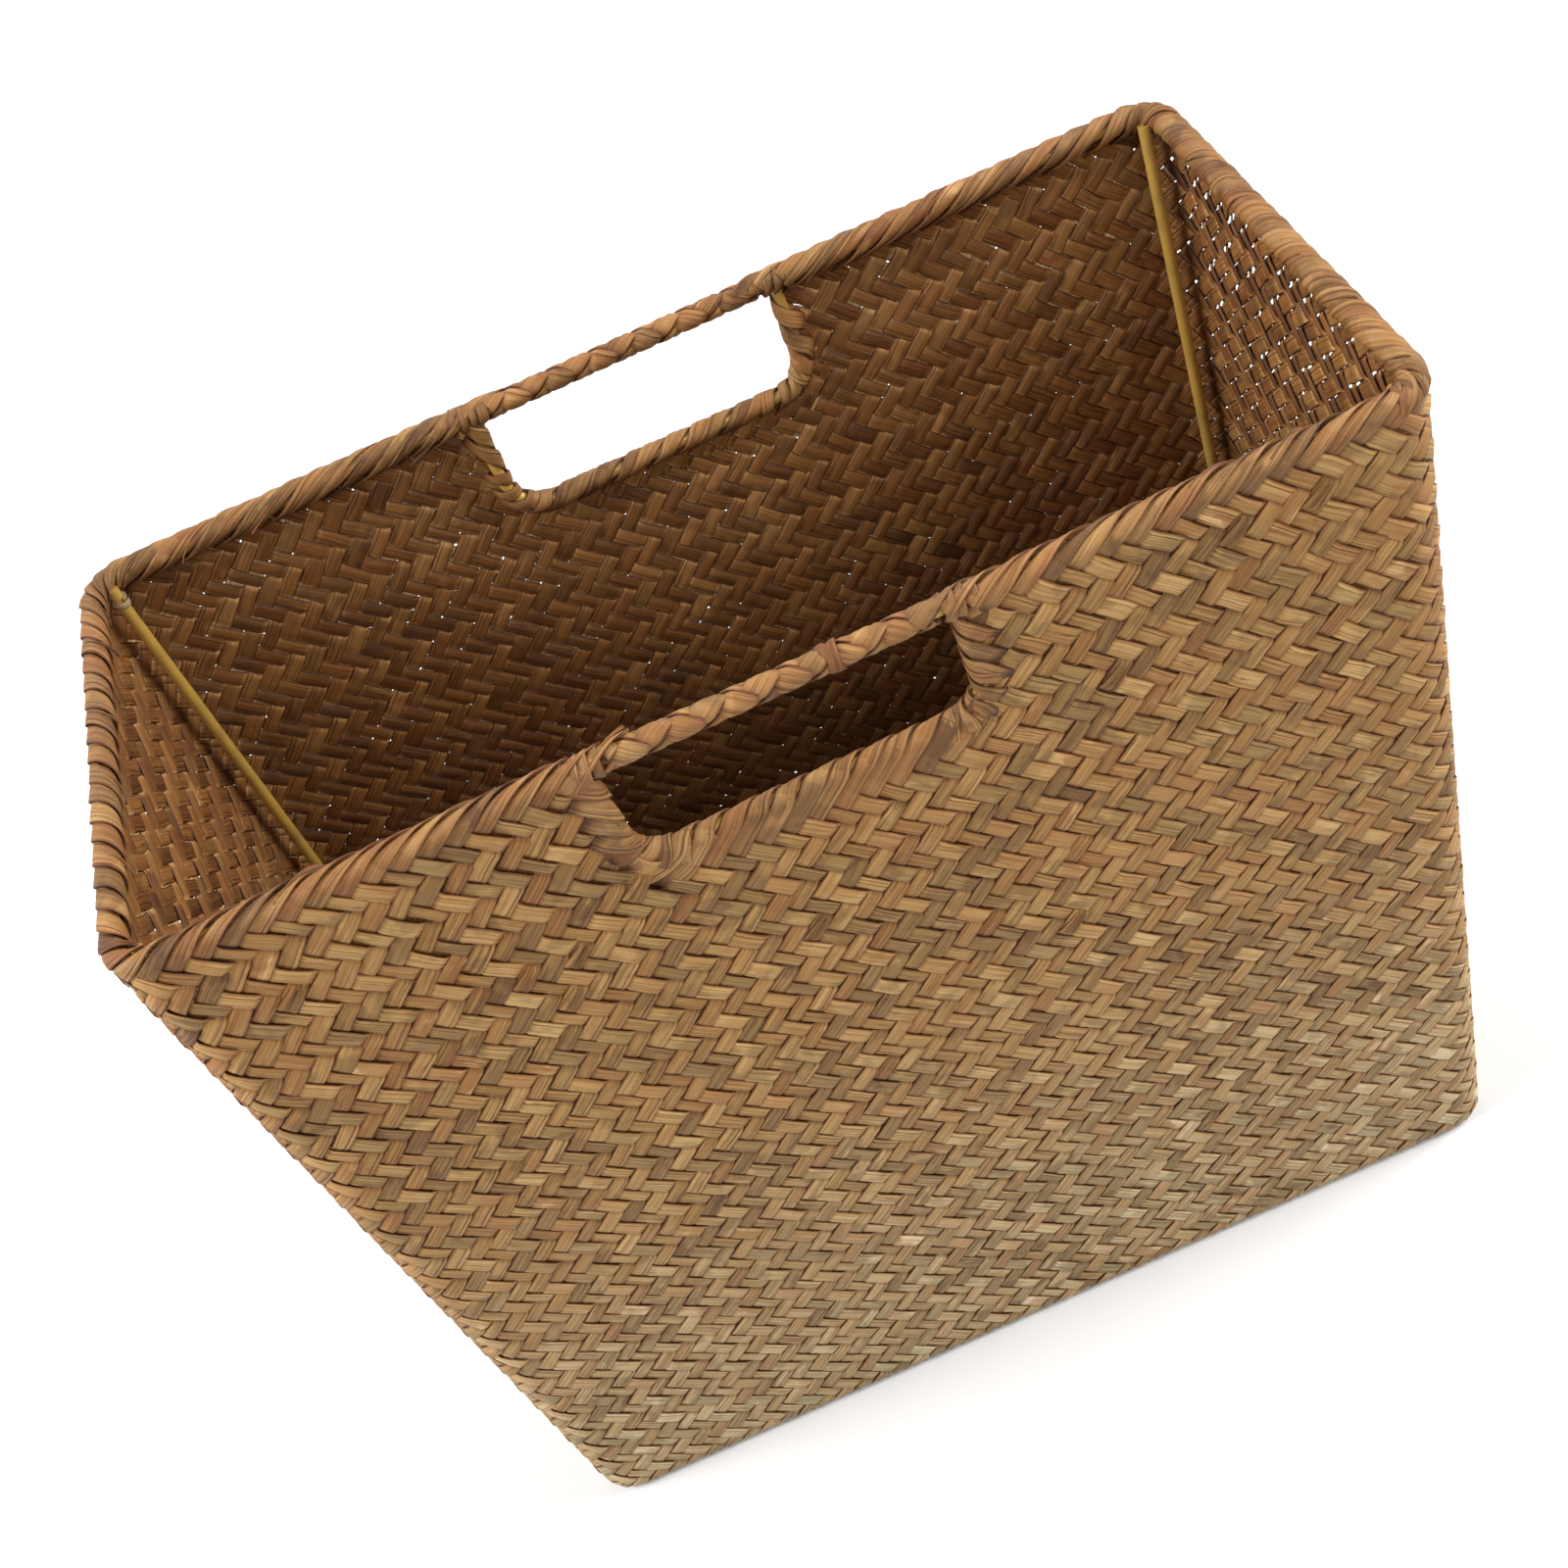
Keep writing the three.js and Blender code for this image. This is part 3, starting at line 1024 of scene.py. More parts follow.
        reach = 2 * (half[0] + half[1]) + shell.rim_z
        strands = []
        for number in twill.numbers(middle - reach, middle + reach):
            for run in self.runs(family, number, shift - 2 * shell.base_half[1], shift, on_base):
                strand = self.strand(family, number, *run)
                strand.line = strand.line - np.array([middle, shift])
                strands.append(strand)
        return strands


@dataclass(frozen=True)
class TornStrands:
    """Narrow strands that lie where rising strands of the plait have torn along their length."""

    plait: Plait
    count: int = 4
    stations: int = 9
    crossings: float = 1.9
    half_reach: float = 0.0021
    narrowing: float = 0.45
    sway: float = 0.0003
    taper: float = 0.15
    sunk: float = 0.0004
    rise: float = 0.0012
    lift_spread: float = 0.00015
    half_width: float = 0.0008
    thinning: float = 0.3
    width_spread_share: float = 0.2
    tilt: float = 0.0003
    shades: Pair = (0.15, 0.5)
    origin_step: float = 0.011

    def strands(self, side: int, places: Iterable[Pair]) -> list[Strand]:
        """The narrow strands on one wall.

        Args:
            side: the wall.
            places: distance from the wall's middle and height of each torn place.

        Returns:
            The narrow strands, each as long as the torn strand stays on top.
        """
        twill = self.plait.twill
        share = np.linspace(0.0, 1.0, self.stations)
        strands = []
        for place, (aside, height) in enumerate(places):
            rise = height - twill.zero_z
            number = round((self.plait.shell.middle(side) + aside - rise) / twill.pitch)
            band = 4 * round((rise * 2 / twill.pitch - 0.5) / 4)
            crossings = band + 0.5 + self.crossings * (share - 0.5)
            strands += self.pieces(number, 7 * place, crossings, share)
        return strands

    def pieces(self, number: int, key: int, crossings: Array, share: Array) -> list[Strand]:
        """The narrow strands at one torn place.

        Args:
            number: which rising strand has torn.
            key: picks their unevenness.
            crossings: their stations, in crossings.
            share: the same, from 0 to 1.

        Returns:
            The narrow strands.
        """
        plait, twill = self.plait, self.plait.twill
        right = np.array([1.0, -1.0]) / math.sqrt(2)
        middle = twill.line(Family.RISING, number, crossings)
        ends = tapered(share, self.taper)
        pieces = []
        for index, aside in enumerate(np.linspace(-self.half_reach, self.half_reach, self.count)):
            own = number + key + 3 * index
            bulge = plait.bulge[Family.RISING].along(own, crossings)
            sway = self.sway * plait.drift[Family.RISING].along(own, crossings)
            across = aside * (1 - self.narrowing * share) + sway
            thin = self.half_width * (1 - self.thinning * share)
            lift = twill.relief - self.sunk + self.rise * ends + self.lift_spread * bulge
            pieces.append(
                Strand(
                    line=middle + right * across[:, None],
                    lift=lift,
                    half_width=thin * (1 + self.width_spread_share * bulge),
                    tilt=self.tilt * (1 - 2 * (index % 2)),
                    shade=self.shades[index % 2],
                    number=float((number + 29 * index) % twill.count),
                    origin=self.origin_step * index,
                )
            )
        return pieces


@dataclass(frozen=True)
class Fray:
    """A loose fibre that has come off a wrap and stands up at its end."""

    first: int = 8
    first_spread: int = 5
    stations: int = 10
    aside: float = 0.0012
    height: float = 0.0016
    height_spread: float = 0.0012
    curl: float = 0.003
    clearance: float = 0.0002
    half_width: float = 0.0003
    thinning: float = 0.75

    def strand(self, wrap: Strand, number: int, wave: Unevenness) -> Strand:
        """The fibre.

        Args:
            wrap: the wrap that it has come off.
            number: which rising strand that is.
            wave: what makes it differ from the others.

        Returns:
            The fibre.
        """
        first = self.first + number % self.first_spread
        last = min(first + self.stations - 1, len(wrap.lift))
        share = np.linspace(0.0, 1.0, last - first)
        aside = self.aside * wave.constant(number + 2)
        height = self.height + self.height_spread * wave.constant(number + 5)
        line = wrap.line[first:last].copy()
        line[:, 0] += aside + self.curl * share**2 * wave.constant(number + 9)
        return Strand(
            line=line,
            lift=wrap.lift[first:last] + self.clearance + height * share**2,
            half_width=self.half_width * (1 - self.thinning * share),
            tilt=0.0,
            shade=0.0,
            number=float(number % 97),
        )


@dataclass(frozen=True)
class CornerBand:
    """A narrow strand that holds a corner's wraps together."""

    stations: int = 20
    start_share: float = 0.45
    end_margin: float = 0.001
    taper: float = 0.14
    bend: float = 0.0008
    slant: float = 0.35
    sunk: float = 0.0006
    rise: float = 0.0011
    lift_spread: float = 0.0003
    half_width: float = 0.001
    width_spread_share: float = 0.35
    thinning: float = 0.4
    tilt: float = 0.0003
    shades: Pair = (0.5, 0.3)

    def strand(self, fold: Fold, place: float, key: int, wave: Unevenness) -> Strand:
        """The band.

        Args:
            fold: its way over the rim wire.
            place: where it crosses the top of the rim.
            key: picks its unevenness.
            wave: what makes it differ from the others.

        Returns:
            The band, which comes out from under the wraps on both ends.
        """
        way = np.linspace(fold.rise * self.start_share, fold.length - self.end_margin, self.stations)
        share = np.linspace(0.0, 1.0, self.stations)
        ends = tapered(share, self.taper)
        u = place + self.slant * (way - fold.crest) + self.bend * wave.along(key, share * 5)
        lift = self.rise * ends - self.sunk + self.lift_spread * wave.along(key + 3, share * 6)
        uneven = 1 + self.width_spread_share * wave.along(key + 7, share * 4)
        return Strand(
            line=np.stack([u, way], axis=-1),
            lift=lift,
            half_width=self.half_width * uneven * (1 - self.thinning * (1 - ends)),
            tilt=self.tilt,
            # Darkened all along for the band's own darker colour, and more at its ends, a painted
            # shade where it goes under the wraps
            shade=self.shades[0] + self.shades[1] * (1 - ends),
            number=float(key % 131),
        )


@dataclass
class RimWraps:
    """The rising strands where they leave the plait and go over the rim wire.

    A pair of values is for the long sides and for the short ones.
    """

    shell: Shell
    plait: Plait
    fold: Fold
    leg_x: float
    slants: Pair = (1.8, 0.75)
    overlap_shares: Pair = (0.16, 0.24)
    tilts: Pair = (0.0007, 0.00065)
    corner_reach: float = 0.03
    lead: float = 0.001
    start_tilt: float = 0.00012
    slant_spread_share: float = 0.1
    width_spread_share: float = 0.08
    sway: float = 0.0007
    lift_spread: float = 0.0003
    tuck: float = 0.0004
    stations: int = 26
    longest_lead: float = 0.05
    wall_margins: Pair = (0.0015, 0.001)
    fewest_stations: int = 5
    frayed: tuple[int, ...] = (2, 5)
    fray: Fray = Fray()
    band: CornerBand = CornerBand()
    wave: Unevenness = field(default_factory=lambda: Unevenness(41, 134))

    @property
    def surface(self) -> RimSurface:
        """What the wraps lie on."""
        return RimSurface(self.shell, self.fold)

    def lay_over(self, way: Array, slant: float) -> tuple[Array, Array]:
        """Turns a wrap from the plait's slant to its own where it reaches the wire.

        Args:
            way: lengths over the wire, from 0 on.
            slant: how far along the rim it goes for each length over it.

        Returns:
            How far along the rim it is at each length, and how much of the turn is made.
        """
        turned = smooth(np.clip((way - self.lead) / self.fold.crest, 0.0, 1.0))
        slope = 1 + (slant - 1) * turned
        steps = np.diff(way) * (slope[1:] + slope[:-1]) / 2
        return np.concatenate([[0.0], np.cumsum(steps)]), turned

    def suited(self, number: int, pair: Pair) -> float:
        """Blends a value of the long sides with that of the short ones, by where a wrap is.

        Args:
            number: which rising strand it is.
            pair: the value on the long sides and on the short ones.

        Returns:
            The value for this wrap.
        """
        u = (number % self.plait.twill.count) * self.plait.twill.pitch
        passed = np.clip((u - self.shell.starts) / (2 * self.corner_reach) + 0.5, 0.0, 1.0)
        short_share = 1 - passed[0] + passed[1] - passed[2] + passed[3] - passed[4]
        return pair[0] + (pair[1] - pair[0]) * float(short_share)

    def start_u(self, number: int) -> float:
        """Where a wrap comes out of the plait."""
        return (number + self.plait.twill.start_crossing / 2) * self.plait.twill.pitch

    def crest_u(self, number: int) -> float:
        """Where a wrap crosses the top of the rim."""
        way = np.linspace(0.0, self.fold.crest, 16)
        return self.start_u(number) + self.lay_over(way, self.suited(number, self.slants))[0][-1]

    def strand(self, number: int) -> Strand:
        """One wrap.

        Args:
            number: which rising strand it is.

        Returns:
            The wrap, cut short where its wall ends at a handhold.
        """
        twill, wave = self.plait.twill, self.wave
        way = np.linspace(0.0, self.fold.length, self.stations)
        cells = way / twill.pitch * 2
        slant = self.suited(number, self.slants)
        slant *= 1 + self.slant_spread_share * wave.constant(number)
        tilt = self.suited(number, self.tilts)
        along, turned = self.lay_over(way, slant)
        u = self.start_u(number) + along + self.sway * wave.along(number, cells) * turned
        spacing = twill.pitch / np.hypot(1.0, 1 + (slant - 1) * turned)
        width = spacing / 2 * (1 + self.suited(number, self.overlap_shares) * turned)
        width *= 1 + self.width_spread_share * wave.along(number + 7, cells + 9)
        tucked = self.fold.tucked(way)
        lift = twill.emerging(way) - self.tuck * tucked
        lift += self.lift_spread * turned * wave.along(number + 3, cells)
        kept = self.beside_handhold(u, way)
        return Strand(
            line=np.stack([u, way], axis=-1)[kept],
            lift=lift[kept],
            half_width=width[kept],
            tilt=(self.start_tilt + (tilt - self.start_tilt) * turned)[kept],
            shade=twill.wrap_shade(way, tucked)[kept],
            number=self.plait.strand_number(Family.RISING, number),
        )

    def bands(self, corner_u: float, places: Iterable[float]) -> list[Strand]:
        """Narrow strands that hold a corner's wraps together.

        Args:
            corner_u: place of the corner.
            places: distance of each band from the corner along the rim.

        Returns:
            The bands.
        """
        key = int(corner_u * 1000)
        return [
            self.band.strand(self.fold, corner_u + place, key + 5 * index, self.wave)
            for index, place in enumerate(places)
        ]

    def beside_handhold(self, u: Array, way: Array) -> Array:
        """Which stations of a wrap have wall under them.

        Args:
            u: place of each station round the basket.
            way: its length over the rim.

        Returns:
            True for the stations that stay.
        """
        _, away = self.fold.place(way, np.zeros(len(way)))
        kept = np.ones(len(u), bool)
        for side in (0, 2):
            inside = np.abs(u - self.shell.middle(side)) < self.leg_x + self.wall_margins[0]
            kept &= ~(inside & (away < self.wall_margins[1]))
        return kept

    def between(self, low_u: float, high_u: float) -> list[Strand]:
        """The wraps that cross the top of the rim between two places, and the fibres off them.

        Args:
            low_u: the first place.
            high_u: the place before which they end.

        Returns:
            The wraps, then the fibres.
        """
        candidates = self.plait.twill.numbers(low_u - self.longest_lead, high_u)
        numbers = [number for number in candidates if low_u <= self.crest_u(number) < high_u]
        strands = [self.strand(number) for number in numbers]
        strands += [
            self.fray.strand(self.strand(number), number, self.wave)
            for number in numbers
            if number % 7 in self.frayed
        ]
        return [strand for strand in strands if len(strand.lift) >= self.fewest_stations]


@dataclass
class HandholdWraps:
    """The plait's strands where they go round the wire of one handhold."""

    handhold: Handhold
    plait: Plait
    sill_fold: Fold
    leg_fold: Fold
    half_width: float = 0.0031
    width_spread_share: float = 0.1
    lift_spread: float = 0.0001
    lean_spread: float = 0.12
    lean_start: float = 0.004
    sway: float = 0.0005
    tilt: float = 0.0004
    tuck: float = 0.0004
    stations: int = 24
    bend_half_width: float = 0.0024
    bend_slope: float = 0.3
    bend_lift: float = 0.0002
    bend_reach: float = 0.0052
    wave: Unevenness = field(default_factory=lambda: Unevenness(51, 134))

    def strand(
        self, fold: Fold, start: float, number: float, key: int, slope: float = 1.0
    ) -> Strand:
        """One wrap.

        Args:
            fold: its way over the wire.
            start: distance along the wire where it leaves the plait.
            number: the number of its strand.
            key: picks its unevenness.
            slope: how far along the wire it goes for each length over it.

        Returns:
            The wrap.
        """
        twill, wave = self.plait.twill, self.wave
        way = np.linspace(0.0, fold.length, self.stations)
        cells = way / twill.pitch * 2
        lean = self.lean_spread * wave.constant(key)
        over = np.clip((way - fold.rise) / self.lean_start, 0.0, 1.0)
        along = start + way * slope + lean * over * way + self.sway * over * wave.along(key, cells)
        tucked = fold.tucked(way)
        lift = twill.emerging(way) - self.tuck * tucked
        uneven = 1 + self.width_spread_share * wave.along(key + 7, cells + 9)
        return Strand(
            line=np.stack([along, way], axis=-1),
            lift=lift + self.lift_spread * wave.along(key + 3, cells),
            half_width=self.half_width * uneven,
            tilt=self.tilt,
            shade=twill.wrap_shade(way, tucked),
            number=number,
        )

    def bend(self, sign: int, count: int) -> list[Strand]:
        """Short strands that close the binding round a bend of the wire.

        Args:
            sign: -1 for the left bend as seen from outside, 1 for the right one.
            count: number of strands.

        Returns:
            The strands.
        """
        hold = self.handhold
        first = hold.sill_drop - hold.bend_radius
        last = first + hold.bend_radius * math.pi / 2
        if sign > 0:
            total = float(hold.edge()[0][-1])
            first, last = total - last, total - first
        leg = self.leg_fold
        fold = Fold(leg.radius + self.bend_lift, (leg.start[0], -self.bend_reach), leg.end)
        strands = []
        for index, place in enumerate(np.linspace(first, last, count)):
            key = 17 * index + 3 * hold.side + (5 if sign > 0 else 0)
            start = float(place) - self.bend_slope * fold.rise
            strand = self.strand(fold, start, float(key), key, self.bend_slope)
            strand.half_width = strand.half_width * (self.bend_half_width / self.half_width)
            strands.append(strand)
        return strands

    def sill(self) -> list[Strand]:
        """The wraps of the sill.

        Returns:
            The rising strands that go over it.
        """
        hold, twill = self.handhold, self.plait.twill
        sill_z = hold.shell.rim_z - hold.sill_drop
        distance, line, _ = hold.edge()
        middle_start = float(np.interp(0.0, line[:, 0], distance))
        strands = []
        for number in range(-twill.count, 2 * twill.count):
            crossing = number * twill.pitch + sill_z - twill.zero_z - hold.shell.middle(hold.side)
            if hold.has_sill_wrap(np.array(crossing)):
                key = self.plait.strand_number(Family.RISING, number)
                start = middle_start + crossing + self.sill_fold.start[1]
                strands.append(self.strand(self.sill_fold, start, key, number))
        return strands

    def leg(self, sign: int) -> list[Strand]:
        """The wraps of one leg.

        Args:
            sign: -1 for the left leg as seen from outside, 1 for the right one.

        Returns:
            The falling strands that go round it.
        """
        hold, twill = self.handhold, self.plait.twill
        leg_u = hold.shell.middle(hold.side) + sign * hold.leg_x
        total = float(hold.edge()[0][-1])
        strands = []
        for number in range(-twill.count, 3 * twill.count):
            depth = hold.shell.rim_z - (twill.zero_z + number * twill.pitch - leg_u)
            if hold.has_leg_wrap(np.array(depth)):
                key = self.plait.strand_number(Family.FALLING, number)
                start = (depth if sign < 0 else total - depth) + self.leg_fold.start[1]
                strands.append(self.strand(self.leg_fold, start, key, number))
        return strands


@dataclass(frozen=True)
class Knot:
    """The end of a new strand, tied in round a grip in two loops."""

    place_share: float = 0.69
    stations: int = 30
    turns: tuple[float, ...] = (1.6, 1.1)
    leans: tuple[float, ...] = (0.0035, -0.0042)
    turn_step: float = 0.2
    sway: float = 0.0006
    taper: float = 0.08
    start_lift: float = 0.0001
    rise: float = 0.0009
    lift_spread: float = 0.0003
    half_width: float = 0.0016
    width_spread_share: float = 0.3
    thinning: float = 0.6
    tilt: float = 0.0004
    shade: float = 0.55
    numbers: Pair = (31.0, 77.0)

    def strands(self, length: float, girth: float, wave: Unevenness) -> list[Strand]:
        """The loops of the knot.

        Args:
            length: length of the grip.
            girth: way once round it.
            wave: what makes the loops uneven.

        Returns:
            The loops.
        """
        share = np.linspace(0.0, 1.0, self.stations)
        ends = tapered(share, self.taper)
        middle = length * self.place_share
        strands = []
        loops = zip(self.turns, self.leans, self.numbers)
        for index, (turns, lean, number) in enumerate(loops):
            sway = self.sway * wave.along(index + 9, share * 6)
            along = middle + lean * (share - 0.5) * 2 + sway
            way = (share * turns + self.turn_step * index) * girth
            uneven = 1 + self.width_spread_share * wave.along(index + 5, share * 5)
            spread = self.lift_spread * wave.along(index + 3, share * 7)
            strands.append(
                Strand(
                    line=np.stack([along, way], axis=-1),
                    lift=self.start_lift + self.rise * ends + spread,
                    half_width=self.half_width * uneven * (1 - self.thinning * (1 - ends)),
                    tilt=self.tilt,
                    shade=self.shade,
                    number=number,
                )
            )
        return strands


@dataclass
class GripBraid:
    """Four strands braided round the bare rim wire over a handhold."""

    handhold: Handhold
    half_length: float
    radius: float = 0.0029
    turn_length: float = 0.0312
    turn_stations: int = 28
    sway: float = 0.0005
    half_width: float = 0.0039
    width_spread_share: float = 0.06
    relief: float = 0.0006
    steepness: float = 1.4
    shades: Pair = (0.4, 0.6)
    first_number: float = 900.0
    knot: Knot = Knot()
    wave: Unevenness = field(default_factory=lambda: Unevenness(61, 16))

    @property
    def surface(self) -> WireSurface:
        """The rim wire's bare stretch."""
        ends = [[-self.half_length, 0, 0], [self.half_length, 0, 0]]
        first, last = self.handhold.to_basket(np.array(ends))
        return WireSurface(Vector(first), Vector(last), self.radius)

    def strands(self) -> list[Strand]:
        """Two strands of each direction, and the knot of the front grip.

        Returns:
            The strands.
        """
        length, girth = 2 * self.half_length, 2 * math.pi * self.radius
        count = int(length / self.turn_length * self.turn_stations)
        along = np.linspace(0.0, length, count)
        quarter = along / self.turn_length * 4
        strands = []
        for key, (family, number) in enumerate(product(Family, (0, 1))):
            swing = self.sway * self.wave.along(key, quarter)
            way = family.value * along / self.turn_length * girth + number * girth / 2
            crest = np.clip(self.steepness * np.cos(math.pi * quarter), -1, 1)
            wave = family.value * crest
            uneven = 1 + self.width_spread_share * self.wave.along(key + 4, quarter)
            strands.append(
                Strand(
                    line=np.stack([along + swing, way], axis=-1),
                    lift=self.relief * wave,
                    half_width=self.half_width * uneven,
                    tilt=0.0,
                    # Painted shade where a strand goes under the others
                    shade=np.clip(self.shades[0] - self.shades[1] * wave, 0, 1),
                    number=self.first_number + 13 * key + 7 * self.handhold.side,
                )
            )
        if self.handhold.side == 0:
            strands += self.knot.strands(length, girth, self.wave)
        return strands


@dataclass
class Lashing:
    """A strand wound round a straight stretch of wire."""

    surface: WireSurface
    turns: float
    half_width: float
    number: float
    swell: float = 0.0006
    turn_stations: int = 22
    sway: float = 0.0006
    sunk: float = 0.0002
    tilt: float = 0.0005
    shade: float = 0.6
    wave: Unevenness = field(default_factory=lambda: Unevenness(71, 64))

    def strands(self) -> list[Strand]:
        """The one strand of the lashing.

        Returns:
            A list with that strand.
        """
        length = (self.surface.end - self.surface.start).length
        share = np.linspace(0.0, 1.0, int(self.turns * self.turn_stations))
        turned = share * self.turns
        key = int(self.number)
        along = share * length + self.sway * self.wave.along(key, turned * 4)
        way = turned * (2 * math.pi * self.surface.radius)
        ends = tapered(share, 1 / (3 * self.turns))
        swell = self.swell * (ends + 0.5 * self.wave.along(key + 5, turned * 5))
        return [
            Strand(
                line=np.stack([along, way], axis=-1),
                lift=swell - self.sunk,
                half_width=self.half_width * (0.9 + 0.12 * self.wave.along(key + 9, share * 9)),
                tilt=self.tilt,
                # Painted shade at the ends, where the strand tucks under its turns
                shade=np.clip(self.shade - ends, 0, 1),
                number=self.number,
            )
        ]


# Finishes


def linear(red: int, green: int, blue: int) -> Colour:
    """A colour given in eight-bit sRGB, in linear light."""
    shares = (value / 255 for value in (red, green, blue))
    return tuple(s / 12.92 if s <= 0.04045 else ((s + 0.055) / 1.055) ** 2.4 for s in shares)


class NodeSheet:
    """Adds nodes to a tree and links them in the order in which they are used."""

    def __init__(self, tree: bpy.types.NodeTree) -> None:
        """Starts on an empty tree."""
        self.tree = tree

    def add(
        self, kind: str, inputs: dict[int | str, object] | None = None, **settings: object
    ) -> bpy.types.Node:
        """Adds a node.

        Args:
            kind: which node it is.
            inputs: a socket to link, or a plain value, for each input that needs one.
            **settings: values of the node's own settings.

        Returns:
            The node.
        """
        node = self.tree.nodes.new(kind)
        for name, value in settings.items():
            setattr(node, name, value)
        for socket, value in (inputs or {}).items():
            target = node.inputs[socket]
            if isinstance(value, Socket):
                self.tree.links.new(value, target)
            elif isinstance(value, tuple) and target.type == "RGBA":
                target.default_value = (*value, 1.0)
            else:
                target.default_value = value
        return node

    def math(self, operation: str, *values: object) -> Socket:
        """A sum of one, two or three values."""
        node = self.add("ShaderNodeMath", dict(enumerate(values)), operation=operation)
        return node.outputs[0]

    def times(self, value: object, factor: object, plus: object = 0.0) -> Socket:
        """A value times a factor, plus another value."""
        return self.math("MULTIPLY_ADD", value, factor, plus)

    def vector(self, *values: object) -> Socket:
        """A vector of three values."""
        return self.add("ShaderNodeCombineXYZ", dict(enumerate(values))).outputs[0]

    def parts(self, vector: object) -> bpy.types.bpy_prop_collection:
        """The three values of a vector."""
        return self.add("ShaderNodeSeparateXYZ", {0: vector}).outputs

    def place(self) -> Socket:
        """The place on the piece, in metres."""
        return self.add("ShaderNodeTexCoord").outputs["Object"]

    def noise(self, vector: object, scale: float, detail: float) -> Socket:
        """Noise from 0 to 1."""
        inputs = {"Vector": vector, "Scale": scale, "Detail": detail}
        return self.add("ShaderNodeTexNoise", inputs).outputs["Fac"]

    def chance(self, number: object) -> Socket:
        """A value from 0 to 1 that is the same wherever the number is."""
        node = self.add("ShaderNodeTexWhiteNoise", {"W": number}, noise_dimensions="1D")
        return node.outputs["Value"]

    def ramp(self, value: object, zero: float, one: float) -> Socket:
        """A soft step from 0 at one value to 1 at another."""
        inputs = {"Value": value, "From Min": zero, "From Max": one}
        node = self.add("ShaderNodeMapRange", inputs, interpolation_type="SMOOTHSTEP")
        return node.outputs["Result"]

    def mix(self, share: object, first: object, second: object, blend: str = "MIX") -> Socket:
        """A mix of two colours.

        Args:
            share: how much the second colour counts.
            first: the first colour.
            second: the second colour.
            blend: how they are mixed.

        Returns:
            The colour.
        """
        inputs = {0: share, 6: first, 7: second}
        node = self.add("ShaderNodeMix", inputs, data_type="RGBA", blend_type=blend)
        return node.outputs[2]

    def bump(self, height: object, distance: float) -> Socket:
        """The direction that a surface faces where a height stands out from it."""
        inputs = {"Height": height, "Distance": distance}
        return self.add("ShaderNodeBump", inputs).outputs["Normal"]

    def show(self, shader: bpy.types.Node) -> None:
        """Makes a shader the look of the surface."""
        self.add("ShaderNodeOutputMaterial", {"Surface": shader.outputs[0]})


